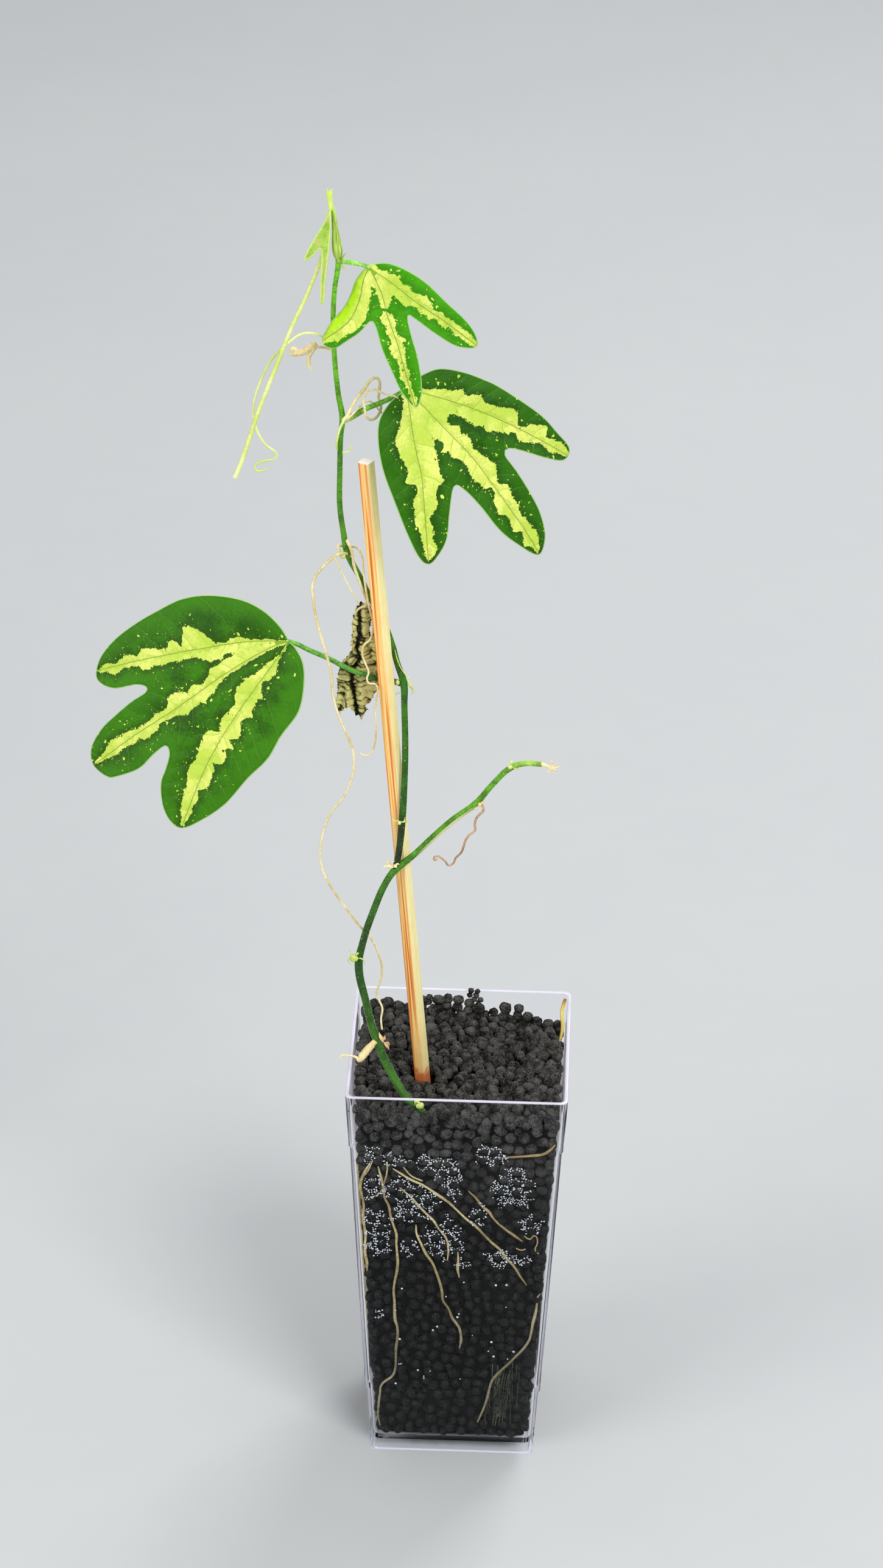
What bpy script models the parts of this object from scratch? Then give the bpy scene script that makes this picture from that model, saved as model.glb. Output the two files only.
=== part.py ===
"""A young passion flower vine with its bamboo stake, in a tall clear square pot.

A cutting rises from black granules, forks, and sends a climbing shoot past a bamboo stake.
Three three-lobed leaves hang from it. Lengths below are millimetres in the pot's own frame:
the pot's axis is at x = y = 0, its foot stands on z = 0, and -Y is the side the leaves face.
"""
import math

import bmesh
import bpy
from mathutils import Matrix, Vector, geometry

MM = 0.001
TOUCH_GAP = 0.3

# The whole vine leans left of its pot, so the pot stands off the model's centre.
POT_OFFSET = (34.5, 0.0, 0.0)

# Pot: a square tapered shell with rounded corners, a stacking step and a raised floor.
POT_HEIGHT = 120.0
RIM_HALF_WIDTH = 30.0
FOOT_HALF_WIDTH = 23.6
WALL = 1.0
CORNER_RADIUS = 3.2
CORNER_STEPS = 4
COLLAR_DEPTH = 16.5
COLLAR_STEP = 0.35
STACK_STEP_Z = 22.0
STACK_STEP = 0.85
FLOOR_UNDERSIDE = 3.6
FLOOR_TOP = 4.8
FOOT_WALL = 1.2
SILL_HEIGHT = 0.4
CORNER_LOSS = 2.0
DRAIN_HOLE_RADIUS = 2.2
DRAIN_HOLE_OFFSET = 12.0
DRAIN_HOLE_SIDES = 10
DRILL_PAST = 1.0

# Granules: one packed block, higher at the back left than at the back right.
ROOT_SPACE = 1.9
SOIL_STEP_HEIGHT = 1.0
SOIL_TOP = {"front_left": 112.5, "front_right": 111.5, "back_right": 110.0, "back_left": 116.0}

# Stake: a split bamboo square, turned so that a wide and a narrow face show.
STAKE_SIDE = 3.2
STAKE_TURN = 27.0
STAKE_AT_SOIL = (-9.9, -7.5, 113.0)
STAKE_TOP = (-26.3, -9.2, 298.5)
STAKE_FOOT_Z = 20.0

OLD_STEM_RADIUS = 1.0
SHOOT_RADIUS = 0.95
ROOT_RADIUS = 0.45
SOCKET_SIDES = 10
SOCKET_STEP = 4.0
SOCKET_PLAY = 0.4
STEM_STEP = 5.0
THIN_STEP = 3.2
SHOOT_FOOT_SHARE = 0.5
TIP_SHARE = 0.8

OLD_STEM_ROUTE = [
    (-5.0, -16.0, 92.0), (-6.5, -20.0, 100.0), (-8.2, -23.0, 107.5), (-9.7, -23.5, 112.3),
    (-12.5, -22.8, 114.6), (-16.4, -20.8, 119.5), (-21.7, -18.0, 129.9), (-25.2, -16.0, 142.1),
    (-27.2, -14.6, 152.5), (-26.3, -14.0, 158.3), (-23.6, -13.0, 167.6), (-19.5, -12.0, 177.8),
    (-17.5, -11.9, 180.6), (-12.9, -11.7, 184.9), (-7.6, -11.9, 190.9), (-2.8, -12.5, 196.2),
    (3.4, -13.5, 202.0), (7.8, -15.0, 208.6), (12.7, -17.0, 214.9), (15.9, -18.3, 216.8),
    (20.7, -20.0, 217.7),
]
SHOOT_ROUTE = [
    (-17.3, -11.9, 183.6), (-16.8, -12.0, 186.0), (-16.1, -11.9, 194.5), (-15.6, -10.6, 205.7),
    (-15.5, -9.2, 215.1), (-15.9, -7.7, 227.6), (-16.2, -6.4, 233.5), (-17.9, -5.9, 238.8),
    (-19.4, -5.3, 244.3), (-22.2, -4.8, 251.6), (-25.4, -4.9, 257.8), (-27.4, -5.2, 262.4),
    (-31.1, -6.0, 270.6), (-32.2, -6.6, 277.0), (-33.1, -7.2, 284.7), (-33.1, -8.0, 294.0),
    (-32.8, -9.2, 305.7), (-32.4, -9.6, 310.3), (-33.4, -10.2, 317.2), (-34.4, -11.2, 328.5),
    (-34.7, -12.0, 339.0), (-34.3, -12.6, 347.3), (-33.4, -13.0, 354.9), (-33.8, -13.4, 360.8),
    (-34.5, -14.0, 367.5), (-35.3, -14.4, 372.5),
]

# Thin round pieces: name, finish, radius at the start and at the end, and the route.
THIN_PIECES = [
    ("petiole_upper", "petiole_green", 0.5, 0.45, [
        (-32.0, -13.9, 355.2), (-30.5, -14.6, 355.5), (-28.8, -15.2, 355.4), (-26.5, -15.7, 355.1)]),
    ("petiole_middle", "petiole_green", 0.6, 0.5, [
        (-30.9, -9.4, 310.4), (-26.6, -8.8, 312.8), (-21.9, -8.2, 314.8), (-19.0, -7.9, 316.3),
        (-16.9, -7.4, 317.6)]),
    ("petiole_left", "petiole_green", 0.65, 0.6, [
        (-17.8, -5.1, 233.2), (-19.9, -4.9, 233.4), (-21.8, -5.2, 233.9), (-24.2, -6.3, 234.8),
        (-26.6, -6.9, 236.0), (-28.8, -7.2, 236.8), (-32.3, -7.5, 238.6), (-35.5, -7.8, 240.6),
        (-40.6, -8.0, 243.0), (-44.9, -7.7, 245.0)]),
    ("tendril_upper_stout", "tendril_pale", 0.45, 0.6, [
        (-35.8, -12.8, 365.8), (-36.9, -14.0, 358.6), (-40.8, -15.3, 347.4), (-44.8, -16.1, 338.3),
        (-48.7, -16.9, 327.7), (-52.7, -17.6, 317.0), (-56.1, -18.4, 306.3), (-57.6, -19.2, 301.7),
        (-59.2, -20.0, 297.8)]),
    ("tendril_upper_hooked", "tendril_pale", 0.3, 0.3, [
        (-35.8, -11.4, 332.2), (-36.9, -12.0, 333.6), (-40.1, -12.3, 334.9), (-42.7, -12.6, 334.7),
        (-45.8, -12.9, 332.5), (-49.5, -13.2, 328.8), (-52.8, -13.5, 322.4), (-54.9, -13.8, 312.9),
        (-54.0, -14.0, 308.6), (-51.7, -14.0, 304.4), (-49.0, -14.0, 302.0), (-49.2, -14.0, 300.8),
        (-51.7, -14.0, 300.0), (-54.1, -14.0, 298.9), (-54.3, -14.0, 297.3), (-52.7, -14.0, 297.1),
        (-51.5, -14.0, 297.8)]),
    ("tendril_middle_looped", "tendril_tan", 0.4, 0.25, [
        (-31.2, -11.0, 311.6), (-29.8, -10.6, 314.6), (-27.0, -10.2, 318.8), (-24.1, -9.5, 321.9),
        (-23.2, -8.9, 321.0), (-23.1, -7.8, 317.6), (-23.3, -6.8, 315.1), (-22.7, -6.4, 312.6),
        (-23.2, -7.4, 310.9), (-24.6, -9.3, 310.2), (-25.9, -10.8, 311.2), (-26.7, -11.3, 314.5),
        (-26.8, -11.3, 317.3), (-25.8, -11.0, 318.8), (-24.1, -10.4, 318.9), (-21.8, -10.3, 317.9),
        (-20.1, -10.6, 317.6), (-19.0, -10.9, 317.5)]),
    ("tendril_middle_side", "tendril_tan", 0.25, 0.25, [
        (-30.2, -11.8, 311.9), (-29.4, -11.4, 312.6), (-28.3, -10.8, 313.3), (-26.9, -10.2, 314.1)]),
    ("tendril_middle_down", "tendril_pale", 0.3, 0.25, [
        (-31.9, -11.2, 310.4), (-32.7, -11.2, 308.9), (-33.3, -11.2, 306.3), (-33.6, -11.2, 303.6),
        (-33.7, -11.2, 302.1)]),
    ("tendril_middle_hook", "tendril_pale", 0.25, 0.2, [
        (-31.6, -9.3, 300.8), (-30.6, -9.6, 301.2), (-30.0, -9.9, 302.1), (-30.3, -10.1, 303.0)]),
    ("tendril_lower_long", "tendril_tan", 0.38, 0.3, [
        (-33.1, -8.6, 271.6), (-34.6, -8.8, 270.6), (-36.8, -9.0, 268.5), (-39.0, -9.2, 265.6),
        (-40.0, -9.4, 262.7), (-39.7, -9.7, 257.9), (-38.7, -10.0, 252.1), (-36.8, -10.2, 244.8),
        (-35.0, -10.5, 237.5), (-34.3, -10.8, 230.2), (-31.9, -11.1, 222.8), (-29.6, -11.4, 217.1),
        (-28.9, -11.7, 212.5), (-29.7, -11.9, 206.5), (-32.2, -12.2, 201.1), (-34.5, -12.5, 198.2),
        (-36.6, -12.8, 192.6), (-37.7, -13.1, 185.9), (-37.0, -13.2, 180.4), (-34.5, -13.0, 174.7),
        (-30.7, -12.4, 168.4), (-27.1, -11.4, 162.5), (-23.8, -10.9, 158.1), (-22.2, -11.8, 154.9),
        (-21.0, -13.4, 151.1), (-21.3, -14.6, 147.4), (-22.3, -14.7, 144.0), (-21.5, -15.2, 141.6),
        (-20.7, -15.8, 139.9), (-21.0, -16.2, 136.7), (-20.9, -16.7, 134.6)]),
    ("tendril_lower_branch", "tendril_tan", 0.25, 0.2, [
        (-33.9, -9.6, 269.8), (-33.0, -9.2, 267.8), (-31.4, -8.8, 264.2), (-30.0, -8.3, 260.9),
        (-28.9, -7.6, 258.7), (-28.1, -6.4, 255.9)]),
    ("tendril_lower_side", "tendril_tan", 0.3, 0.22, [
        (-33.6, -7.2, 273.2), (-32.7, -5.6, 272.4), (-31.2, -4.2, 271.5), (-29.7, -4.8, 271.9),
        (-28.3, -6.6, 272.1), (-27.4, -7.5, 270.7), (-26.9, -7.8, 267.0), (-26.4, -8.0, 262.7),
        (-25.7, -8.0, 258.2), (-25.1, -7.6, 254.9), (-24.4, -7.2, 251.8), (-24.5, -7.2, 248.3),
        (-25.2, -7.4, 246.2), (-26.6, -7.6, 244.9), (-27.0, -8.0, 242.3), (-26.1, -8.6, 239.8),
        (-25.3, -9.2, 237.7), (-25.7, -9.7, 236.1), (-25.2, -10.2, 235.1), (-23.4, -10.5, 234.9),
        (-22.8, -10.6, 232.7), (-23.2, -10.6, 230.2), (-23.3, -10.5, 225.8), (-23.2, -10.4, 220.4),
        (-23.6, -10.3, 216.7), (-24.7, -10.1, 214.2), (-26.3, -9.9, 213.5), (-27.5, -9.7, 214.1)]),
    ("tendril_dried", "tendril_brown", 0.35, 0.3, [
        (4.8, -15.4, 201.6), (4.7, -15.2, 200.6), (3.6, -14.8, 198.4), (3.2, -14.6, 195.0),
        (1.1, -14.4, 192.1), (0.1, -14.1, 187.9), (-1.5, -13.8, 185.0), (-2.6, -13.7, 182.9),
        (-4.1, -13.6, 181.9), (-5.1, -13.6, 183.2), (-6.9, -13.7, 184.5), (-8.0, -13.7, 183.9)]),
    ("dried_leaf_stalk", "dried_olive", 0.4, 0.3, [
        (-30.9, -8.0, 276.2), (-30.0, -7.9, 272.2), (-29.3, -7.5, 267.6), (-28.0, -7.1, 263.2),
        (-26.8, -6.7, 259.4), (-26.3, -6.1, 257.0), (-26.8, -4.9, 255.2)]),
    ("dried_stub", "dried_cream", 1.1, 0.3, [
        (-23.5, -18.95, 129.8), (-24.5, -19.3, 128.6), (-25.7, -19.7, 127.3), (-26.6, -20.0, 126.6),
        (-28.6, -20.2, 127.2), (-30.2, -20.3, 127.4), (-31.1, -20.5, 126.9)]),
    ("dried_bud", "dried_cream", 0.3, 0.8, [
        (-35.9, -11.6, 330.4), (-37.3, -11.8, 330.9), (-39.5, -12.0, 330.9), (-40.8, -12.1, 330.7),
        (-42.0, -12.2, 329.8), (-43.8, -12.4, 329.3), (-45.7, -12.6, 328.8)]),
    ("old_stem_dried_tip", "tendril_brown", 0.5, 0.9, [
        (21.3, -20.2, 217.7), (22.6, -20.5, 217.5), (24.2, -21.0, 217.2)]),
    ("growing_tip", "tendril_pale", 0.3, 0.5, [
        (-35.4, -14.5, 373.0), (-35.5, -14.6, 374.0), (-35.6, -14.6, 374.8)]),
    ("corner_root", "root_tan", 0.5, 0.4, [
        (28.4, 23.4, 121.6), (28.0, 22.8, 120.4), (27.9, 22.2, 119.0), (27.9, 21.6, 117.2),
        (27.8, 20.8, 114.6), (27.6, 20.0, 112.2)]),
]

# Roots pressed against the front wall: (x, z) points; y follows the inside of the wall.
WALL_ROOTS = [
    [(25.6, 104.2), (23.5, 102.5), (18.1, 101.5), (12.6, 100.9)],
    [(3.7, 89.5), (7.4, 84.8), (10.6, 80.8), (12.2, 78.4)],
    [(-17.2, 96.2), (-11.7, 92.6), (-4.4, 87.8), (5.7, 77.6), (14.2, 67.7), (20.0, 58.4)],
    [(-15.0, 90.0), (-9.8, 84.0), (-4.4, 77.0), (-1.5, 70.6), (-1.7, 66.0)],
    [(-10.8, 77.6), (-9.2, 71.3), (-4.6, 61.4), (-2.7, 52.3), (2.2, 41.0), (1.7, 36.0)],
    [(-20.8, 96.7), (-19.5, 88.9), (-15.7, 71.0), (-16.5, 51.8), (-15.6, 42.6), (-15.7, 32.3),
     (-16.8, 26.0)],
    [(24.0, 55.6), (23.0, 54.0), (22.4, 48.7), (21.0, 39.4), (15.6, 31.2), (11.4, 25.6)],
    [(-23.5, 97.6), (-25.6, 92.0), (-25.0, 83.2), (-24.4, 70.7), (-24.0, 61.6)],
    [(0.8, 69.0), (1.4, 60.4)],
]

# Small grown parts at the nodes: name, finish, centre and the three half sizes.
NODE_PARTS = [
    ("bud_at_soil", "bud_yellow", (-10.5, -24.6, 115.0), (0.7, 0.6, 0.7)),
    ("leaf_scar", "tendril_brown", (-20.0, -18.9, 132.4), (0.8, 0.6, 1.1)),
    ("bud_lower", "bud_yellow", (-28.2, -16.6, 155.4), (1.1, 1.0, 1.1)),
    ("bud_fork", "bud_yellow", (-19.6, -12.9, 182.2), (1.2, 0.8, 0.9)),
    ("stipule_low", "tendril_pale", (-17.4, -12.6, 195.6), (0.4, 0.4, 0.9)),
    ("stipule_bend", "bud_yellow", (-14.6, -7.6, 233.4), (0.4, 0.6, 1.2)),
    ("bud_mid", "bud_yellow", (-32.2, -7.9, 270.2), (0.7, 0.7, 0.7)),
    ("stipule_top", "tendril_pale", (-32.0, -12.4, 356.9), (0.5, 0.4, 0.5)),
    ("bud_branch", "dried_cream", (4.9, -15.5, 202.9), (0.7, 0.6, 0.6)),
    ("bud_branch_end", "bud_yellow", (12.6, -18.6, 216.2), (0.8, 0.6, 0.8)),
]

# Leaf blades: outline points are (right, up) in the blade's own plane, from its base.
BLADE_THICKNESS = 0.45
BLADES = {
    "leaf_upper": {
        "base": (-25.6, -16.0, 354.9), "azimuth": 8.0, "elevation": 14.0, "droop": 3.0,
        "outline": [
            (0, 0.5), (4.5, 1), (9.5, -1), (14.5, -4.5), (19.5, -9.5), (24.5, -14.5), (27, -18.5),
            (27, -21.5), (22, -21), (16.5, -17.5), (12, -14), (9.7, -12.7), (10.5, -17.5),
            (12, -23), (13, -29), (13, -33.5), (11.5, -36.5), (8, -32.5), (5.5, -27), (3, -21),
            (1.5, -15.5), (0.2, -13.8), (-2.5, -16.5), (-5.5, -18.5), (-9, -20.5), (-12, -19),
            (-10, -15), (-6.5, -11), (-4.5, -7.5), (-3, -3.5), (-0.5, 0)],
        "veins": [
            [(0, 0), (-1.5, -4), (-2.5, -8.5), (-5.5, -14), (-12, -18.7)],
            [(0, 0), (3, -6.5), (4.5, -12.5), (7, -20), (9, -27.5), (11.4, -36)],
            [(0, 0), (6, -4.5), (12, -9.5), (19, -14.5), (27, -21)]],
        "folded_lobe": 0,
    },
    "leaf_middle": {
        "base": (-16.3, -8.5, 318.2), "azimuth": 12.0, "elevation": 22.0, "droop": 6.0,
        "outline": [
            (0, 0), (1.5, 2), (4.5, 3.8), (9, 5), (15, 3.8), (20.5, 1.5), (25, -1), (34.5, -8),
            (39, -13), (42.3, -17.5), (40.5, -20.5), (35.5, -19.5), (30, -17.5), (26, -16.5),
            (25, -18), (28, -22.5), (31.5, -28.5), (34, -34), (35, -40), (33, -44.5), (27, -41),
            (22.5, -37), (18, -31), (14, -26.5), (11.3, -25.3), (10, -31.5), (9, -38.5),
            (6.5, -43), (4, -45), (1.5, -43), (-1.5, -36.5), (-4.5, -28), (-7, -20), (-8, -13),
            (-7.5, -7.5), (-5, -3.5), (-2, -1)],
        "veins": [
            [(0, 0), (0.5, -4), (1.5, -13.5), (3, -22.5), (3.5, -32.5), (4, -44)],
            [(0, 0), (3.5, -3.5), (10.5, -11.5), (17, -19), (24.5, -30), (29.5, -37.5), (33, -43.5)],
            [(0, 0), (4.5, -1), (15.5, -5), (25, -9.5), (34, -14.5), (41.8, -19.3)]],
        "folded_lobe": None,
    },
    "leaf_left": {
        "base": (-46.0, -8.4, 245.8), "azimuth": -14.0, "elevation": 26.0, "droop": 7.0,
        "outline": [
            (0, 0), (-3, 3.5), (-8, 7), (-14.5, 9), (-23.5, 9), (-31, 7), (-37.5, 3), (-43, -1),
            (-48.5, -6), (-52, -11), (-53, -15.5), (-51.5, -18), (-47, -19), (-41, -17.2),
            (-38, -17.3), (-38, -18.7), (-41.5, -21.5), (-45.5, -25.5), (-49.5, -30),
            (-52, -35.5), (-51, -40), (-46.5, -42.5), (-43.5, -42), (-37.5, -39), (-33.5, -34.5),
            (-30.5, -32), (-29.3, -34), (-30, -38), (-31, -42), (-30, -47.5), (-27.5, -51.5),
            (-24, -53), (-18.5, -50), (-12.5, -45), (-7, -37.5), (-2, -31.5), (1, -25), (5, -18),
            (5.5, -10.5), (4.5, -5), (2, -1.5)],
        "veins": [
            [(0, 0), (-1.5, -3), (-6, -10.5), (-12.5, -22), (-16, -29), (-19.5, -37.5), (-24, -52)],
            [(0, 0), (-6, -3), (-16, -10.5), (-28, -21), (-40.5, -31), (-48, -37.5), (-50.5, -39.5)],
            [(0, 0), (-10.5, -1.5), (-21.5, -4.5), (-34.5, -8.5), (-47.5, -13), (-52.5, -15)]],
        "folded_lobe": None,
    },
    "young_leaf": {
        "base": (-35.9, -15.2, 369.2), "azimuth": -8.0, "elevation": 15.0, "droop": 0.5,
        "outline": [
            (0, 0), (-1.2, -3.4), (-3.4, -7.4), (-4.9, -10.6), (-5.7, -13.2), (-3.7, -12),
            (-1.6, -9.8), (-1.1, -12), (-1.1, -18), (-1.1, -23), (-0.5, -23.5), (0, -18),
            (0.4, -12), (0.6, -6), (0.5, -1)],
        "veins": [[(0, 0), (-2.6, -7), (-5.4, -12.8)], [(0, 0), (-0.2, -9), (-0.8, -23)]],
        "folded_lobe": None,
    },
}
OUTLINE_STEP = 2.4
INNER_STEP = 4.6
EDGE_CLEARANCE = 0.45
VEIN_DEPTH = 0.7
VEIN_REACH = 4.0
FOLD_SLOPE = 1.5

# The second young leaf is still folded shut, and the dried leaf is a crumpled bundle.
FOLDED_YOUNG_LEAF = [
    ((-33.2, -15.5, 366.0), 0.3, 0.3), ((-32.9, -15.9, 364.0), 0.6, 0.45),
    ((-32.7, -16.1, 361.0), 0.7, 0.5), ((-32.5, -16.1, 358.5), 0.6, 0.45),
    ((-32.4, -15.8, 356.4), 0.3, 0.3),
]
DRIED_LEAF = [
    ((-27.2, -4.1, 254.2), 0.8, 0.4), ((-27.4, -4.0, 250.0), 2.4, 0.8),
    ((-27.4, -4.0, 245.0), 2.8, 1.0), ((-26.6, -4.0, 240.0), 3.4, 1.0),
    ((-27.7, -4.0, 236.0), 4.5, 1.0), ((-28.4, -4.0, 230.0), 5.1, 1.1),
    ((-29.3, -4.0, 226.5), 4.5, 1.0), ((-30.0, -4.0, 223.4), 3.0, 0.8),
    ((-29.0, -4.0, 221.3), 0.9, 0.4),
]
BUNDLE_SIDES = 12

FINISHES = {
    "clear_plastic": ((0.80, 0.84, 0.84), 0.08),
    "black_granules": ((0.02, 0.02, 0.02), 0.80),
    "bamboo": ((0.80, 0.50, 0.20), 0.55),
    "stem_green": ((0.07, 0.22, 0.03), 0.50),
    "petiole_green": ((0.15, 0.33, 0.05), 0.50),
    "leaf_green": ((0.06, 0.22, 0.03), 0.45),
    "young_green": ((0.45, 0.65, 0.10), 0.45),
    "tendril_pale": ((0.75, 0.78, 0.35), 0.50),
    "tendril_tan": ((0.75, 0.66, 0.38), 0.55),
    "tendril_brown": ((0.50, 0.36, 0.24), 0.70),
    "bud_yellow": ((0.72, 0.78, 0.30), 0.55),
    "dried_cream": ((0.85, 0.72, 0.35), 0.65),
    "dried_olive": ((0.42, 0.40, 0.20), 0.80),
    "root_tan": ((0.70, 0.56, 0.26), 0.60),
}


def clear_scene():
    for old in list(bpy.data.objects):
        bpy.data.objects.remove(old, do_unlink=True)


def finish(name):
    """Return the material of a finish, made on its first use."""
    made = bpy.data.materials.get(name)
    if made:
        return made
    colour, roughness = FINISHES[name]
    made = bpy.data.materials.new(name)
    made.use_nodes = True
    shader = made.node_tree.nodes["Principled BSDF"]
    shader.inputs["Base Color"].default_value = (*colour, 1.0)
    shader.inputs["Roughness"].default_value = roughness
    shader.inputs["Metallic"].default_value = 0.0
    return made


def place(name, data, finish_name):
    """Link a new object under the pot's empty, with its finish."""
    piece = bpy.data.objects.new(name, data)
    piece.parent = bpy.data.objects["pot_axis"]
    data.materials.append(finish(finish_name))
    bpy.context.scene.collection.objects.link(piece)
    return piece


def hide_as_cutter(piece):
    piece.hide_render = True
    piece.display_type = "WIRE"
    return piece


def cut(piece, cutter):
    """Take a hidden cutter out of a piece."""
    hide_as_cutter(cutter)
    hole = piece.modifiers.new(cutter.name, "BOOLEAN")
    hole.operation = "DIFFERENCE"
    hole.object = cutter


def smooth_route(points, step, closed=False):
    """Sample a smooth curve through the points, about one sample every step."""
    knots = [Vector(p) for p in points]
    count = len(knots)
    spans = count if closed else count - 1
    samples = []
    for i in range(spans):
        a = knots[(i - 1) % count] if closed or i > 0 else 2 * knots[0] - knots[1]
        b = knots[i]
        c = knots[(i + 1) % count]
        d = knots[(i + 2) % count] if closed or i + 2 < count else 2 * c - b
        pieces = max(1, round((c - b).length / step))
        for k in range(pieces):
            t = k / pieces
            flat = b * 2 + (c - a) * t
            bend = (a * 2 - b * 5 + c * 4 - d) * t * t + (b * 3 - a - c * 3 + d) * t * t * t
            samples.append((flat + bend) / 2)
    if not closed:
        samples.append(knots[-1])
    return samples


def tube(name, finish_name, route, start_radius, end_radius, step, sides_level=1):
    """A round piece that follows a smooth route and tapers from one end to the other."""
    points = smooth_route(route, step)
    curve = bpy.data.curves.new(name, "CURVE")
    curve.dimensions = "3D"
    curve.bevel_depth = MM
    curve.bevel_resolution = sides_level
    curve.use_fill_caps = True
    spline = curve.splines.new("POLY")
    spline.points.add(len(points) - 1)
    for i, (point, target) in enumerate(zip(points, spline.points)):
        share = i / (len(points) - 1)
        target.co = (*(point * MM), 1.0)
        target.radius = start_radius + (end_radius - start_radius) * share
    return place(name, curve, finish_name)


def loft(name, finish_name, rings):
    """Skin equal rings of points in order, and close both ends."""
    mesh = bpy.data.meshes.new(name)
    shell = bmesh.new()
    loops = [[shell.verts.new(Vector(p) * MM) for p in ring] for ring in rings]
    for low, high in zip(loops, loops[1:]):
        for i in range(len(low)):
            j = (i + 1) % len(low)
            shell.faces.new((low[i], low[j], high[j], high[i]))
    shell.faces.new(list(reversed(loops[0])))
    shell.faces.new(loops[-1])
    bmesh.ops.triangulate(shell, faces=[f for f in shell.faces if len(f.verts) > 4])
    bmesh.ops.recalc_face_normals(shell, faces=shell.faces)
    shell.to_mesh(mesh)
    shell.free()
    return place(name, mesh, finish_name)


def rounded_square(half, radius, z):
    """Corner points of a rounded square, anticlockwise from above."""
    ring = []
    for corner in range(4):
        centre_angle = math.radians(45 + 90 * corner)
        reach = (half - radius) * math.sqrt(2)
        cx = reach * math.cos(centre_angle)
        cy = reach * math.sin(centre_angle)
        for k in range(CORNER_STEPS + 1):
            angle = math.radians(90 * corner + 90 * k / CORNER_STEPS)
            ring.append((cx + radius * math.cos(angle), cy + radius * math.sin(angle), z))
    return ring


def outer_half(z):
    """Half the pot's outer width at a height, without the collar and the stacking step."""
    return FOOT_HALF_WIDTH + (RIM_HALF_WIDTH - FOOT_HALF_WIDTH) * z / POT_HEIGHT


def wall_ring(z, inwards):
    return rounded_square(outer_half(z) - inwards, CORNER_RADIUS - min(inwards, CORNER_LOSS), z)


def pot():
    """The square shell: a stacking step, a collar, a raised floor and five drain holes."""
    collar_z = POT_HEIGHT - COLLAR_DEPTH
    outside = [
        wall_ring(FLOOR_UNDERSIDE, STACK_STEP + FOOT_WALL),
        wall_ring(0.0, STACK_STEP + FOOT_WALL),
        wall_ring(0.0, STACK_STEP),
        wall_ring(STACK_STEP_Z - SILL_HEIGHT, STACK_STEP),
        wall_ring(STACK_STEP_Z, COLLAR_STEP),
        wall_ring(collar_z - SILL_HEIGHT, COLLAR_STEP),
        wall_ring(collar_z, 0.0),
        wall_ring(POT_HEIGHT, 0.0),
    ]
    inside = [
        wall_ring(POT_HEIGHT, WALL),
        wall_ring(STACK_STEP_Z + WALL, COLLAR_STEP + WALL),
        wall_ring(STACK_STEP_Z + WALL - SILL_HEIGHT, STACK_STEP + WALL),
        wall_ring(FLOOR_TOP, STACK_STEP + WALL),
    ]
    shell = loft("pot", "clear_plastic", outside + inside)
    corners = [(sx, sy) for sx in (-1, 1) for sy in (-1, 1)]
    for i, (sx, sy) in enumerate(corners + [(0, 0)]):
        centre = Vector((sx * DRAIN_HOLE_OFFSET, sy * DRAIN_HOLE_OFFSET, 0.0))
        hole = drill("drain_hole_%d" % (i + 1), centre)
        cut(shell, hole)


def drill(name, centre):
    """A round cutter that reaches past both sides of the floor."""
    rings = []
    for z in (FLOOR_UNDERSIDE - DRILL_PAST, FLOOR_TOP + DRILL_PAST):
        ring = []
        for k in range(DRAIN_HOLE_SIDES):
            angle = 2 * math.pi * k / DRAIN_HOLE_SIDES
            x = centre.x + DRAIN_HOLE_RADIUS * math.cos(angle)
            y = centre.y + DRAIN_HOLE_RADIUS * math.sin(angle)
            ring.append((x, y, z))
        rings.append(ring)
    return loft(name, "clear_plastic", rings)


def soil_height(x, y, half):
    """Height of the granules, blended between the four corners."""
    u = (x + half) / (2 * half)
    v = (y + half) / (2 * half)
    front = SOIL_TOP["front_left"] * (1 - u) + SOIL_TOP["front_right"] * u
    back = SOIL_TOP["back_left"] * (1 - u) + SOIL_TOP["back_right"] * u
    return front * (1 - v) + back * v


def soil_ring(z, inwards):
    return wall_ring(z, COLLAR_STEP + WALL + inwards)


def substrate():
    """The packed granules, with sockets for the stake and for the buried end of the stem."""
    lower_inset = STACK_STEP - COLLAR_STEP + ROOT_SPACE
    top_z = min(SOIL_TOP.values())
    top = soil_ring(top_z, ROOT_SPACE)
    half = max(p[0] for p in top)
    top = [(x, y, soil_height(x, y, half)) for x, y, z in top]
    rings = [
        soil_ring(FLOOR_TOP + TOUCH_GAP, lower_inset),
        soil_ring(STACK_STEP_Z + WALL, lower_inset),
        soil_ring(STACK_STEP_Z + WALL + SOIL_STEP_HEIGHT, ROOT_SPACE),
        top,
    ]
    block = loft("substrate", "black_granules", rings)
    cut(block, stake_prism("stake_socket", "black_granules", TOUCH_GAP, STAKE_FOOT_Z - TOUCH_GAP))
    buried = OLD_STEM_ROUTE[:7]
    first = Vector(buried[0])
    below = first + (first - Vector(buried[1])).normalized() * TOUCH_GAP
    cut(block, swept_socket("stem_socket", [tuple(below)] + buried[1:],
                            OLD_STEM_RADIUS + SOCKET_PLAY))


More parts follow.
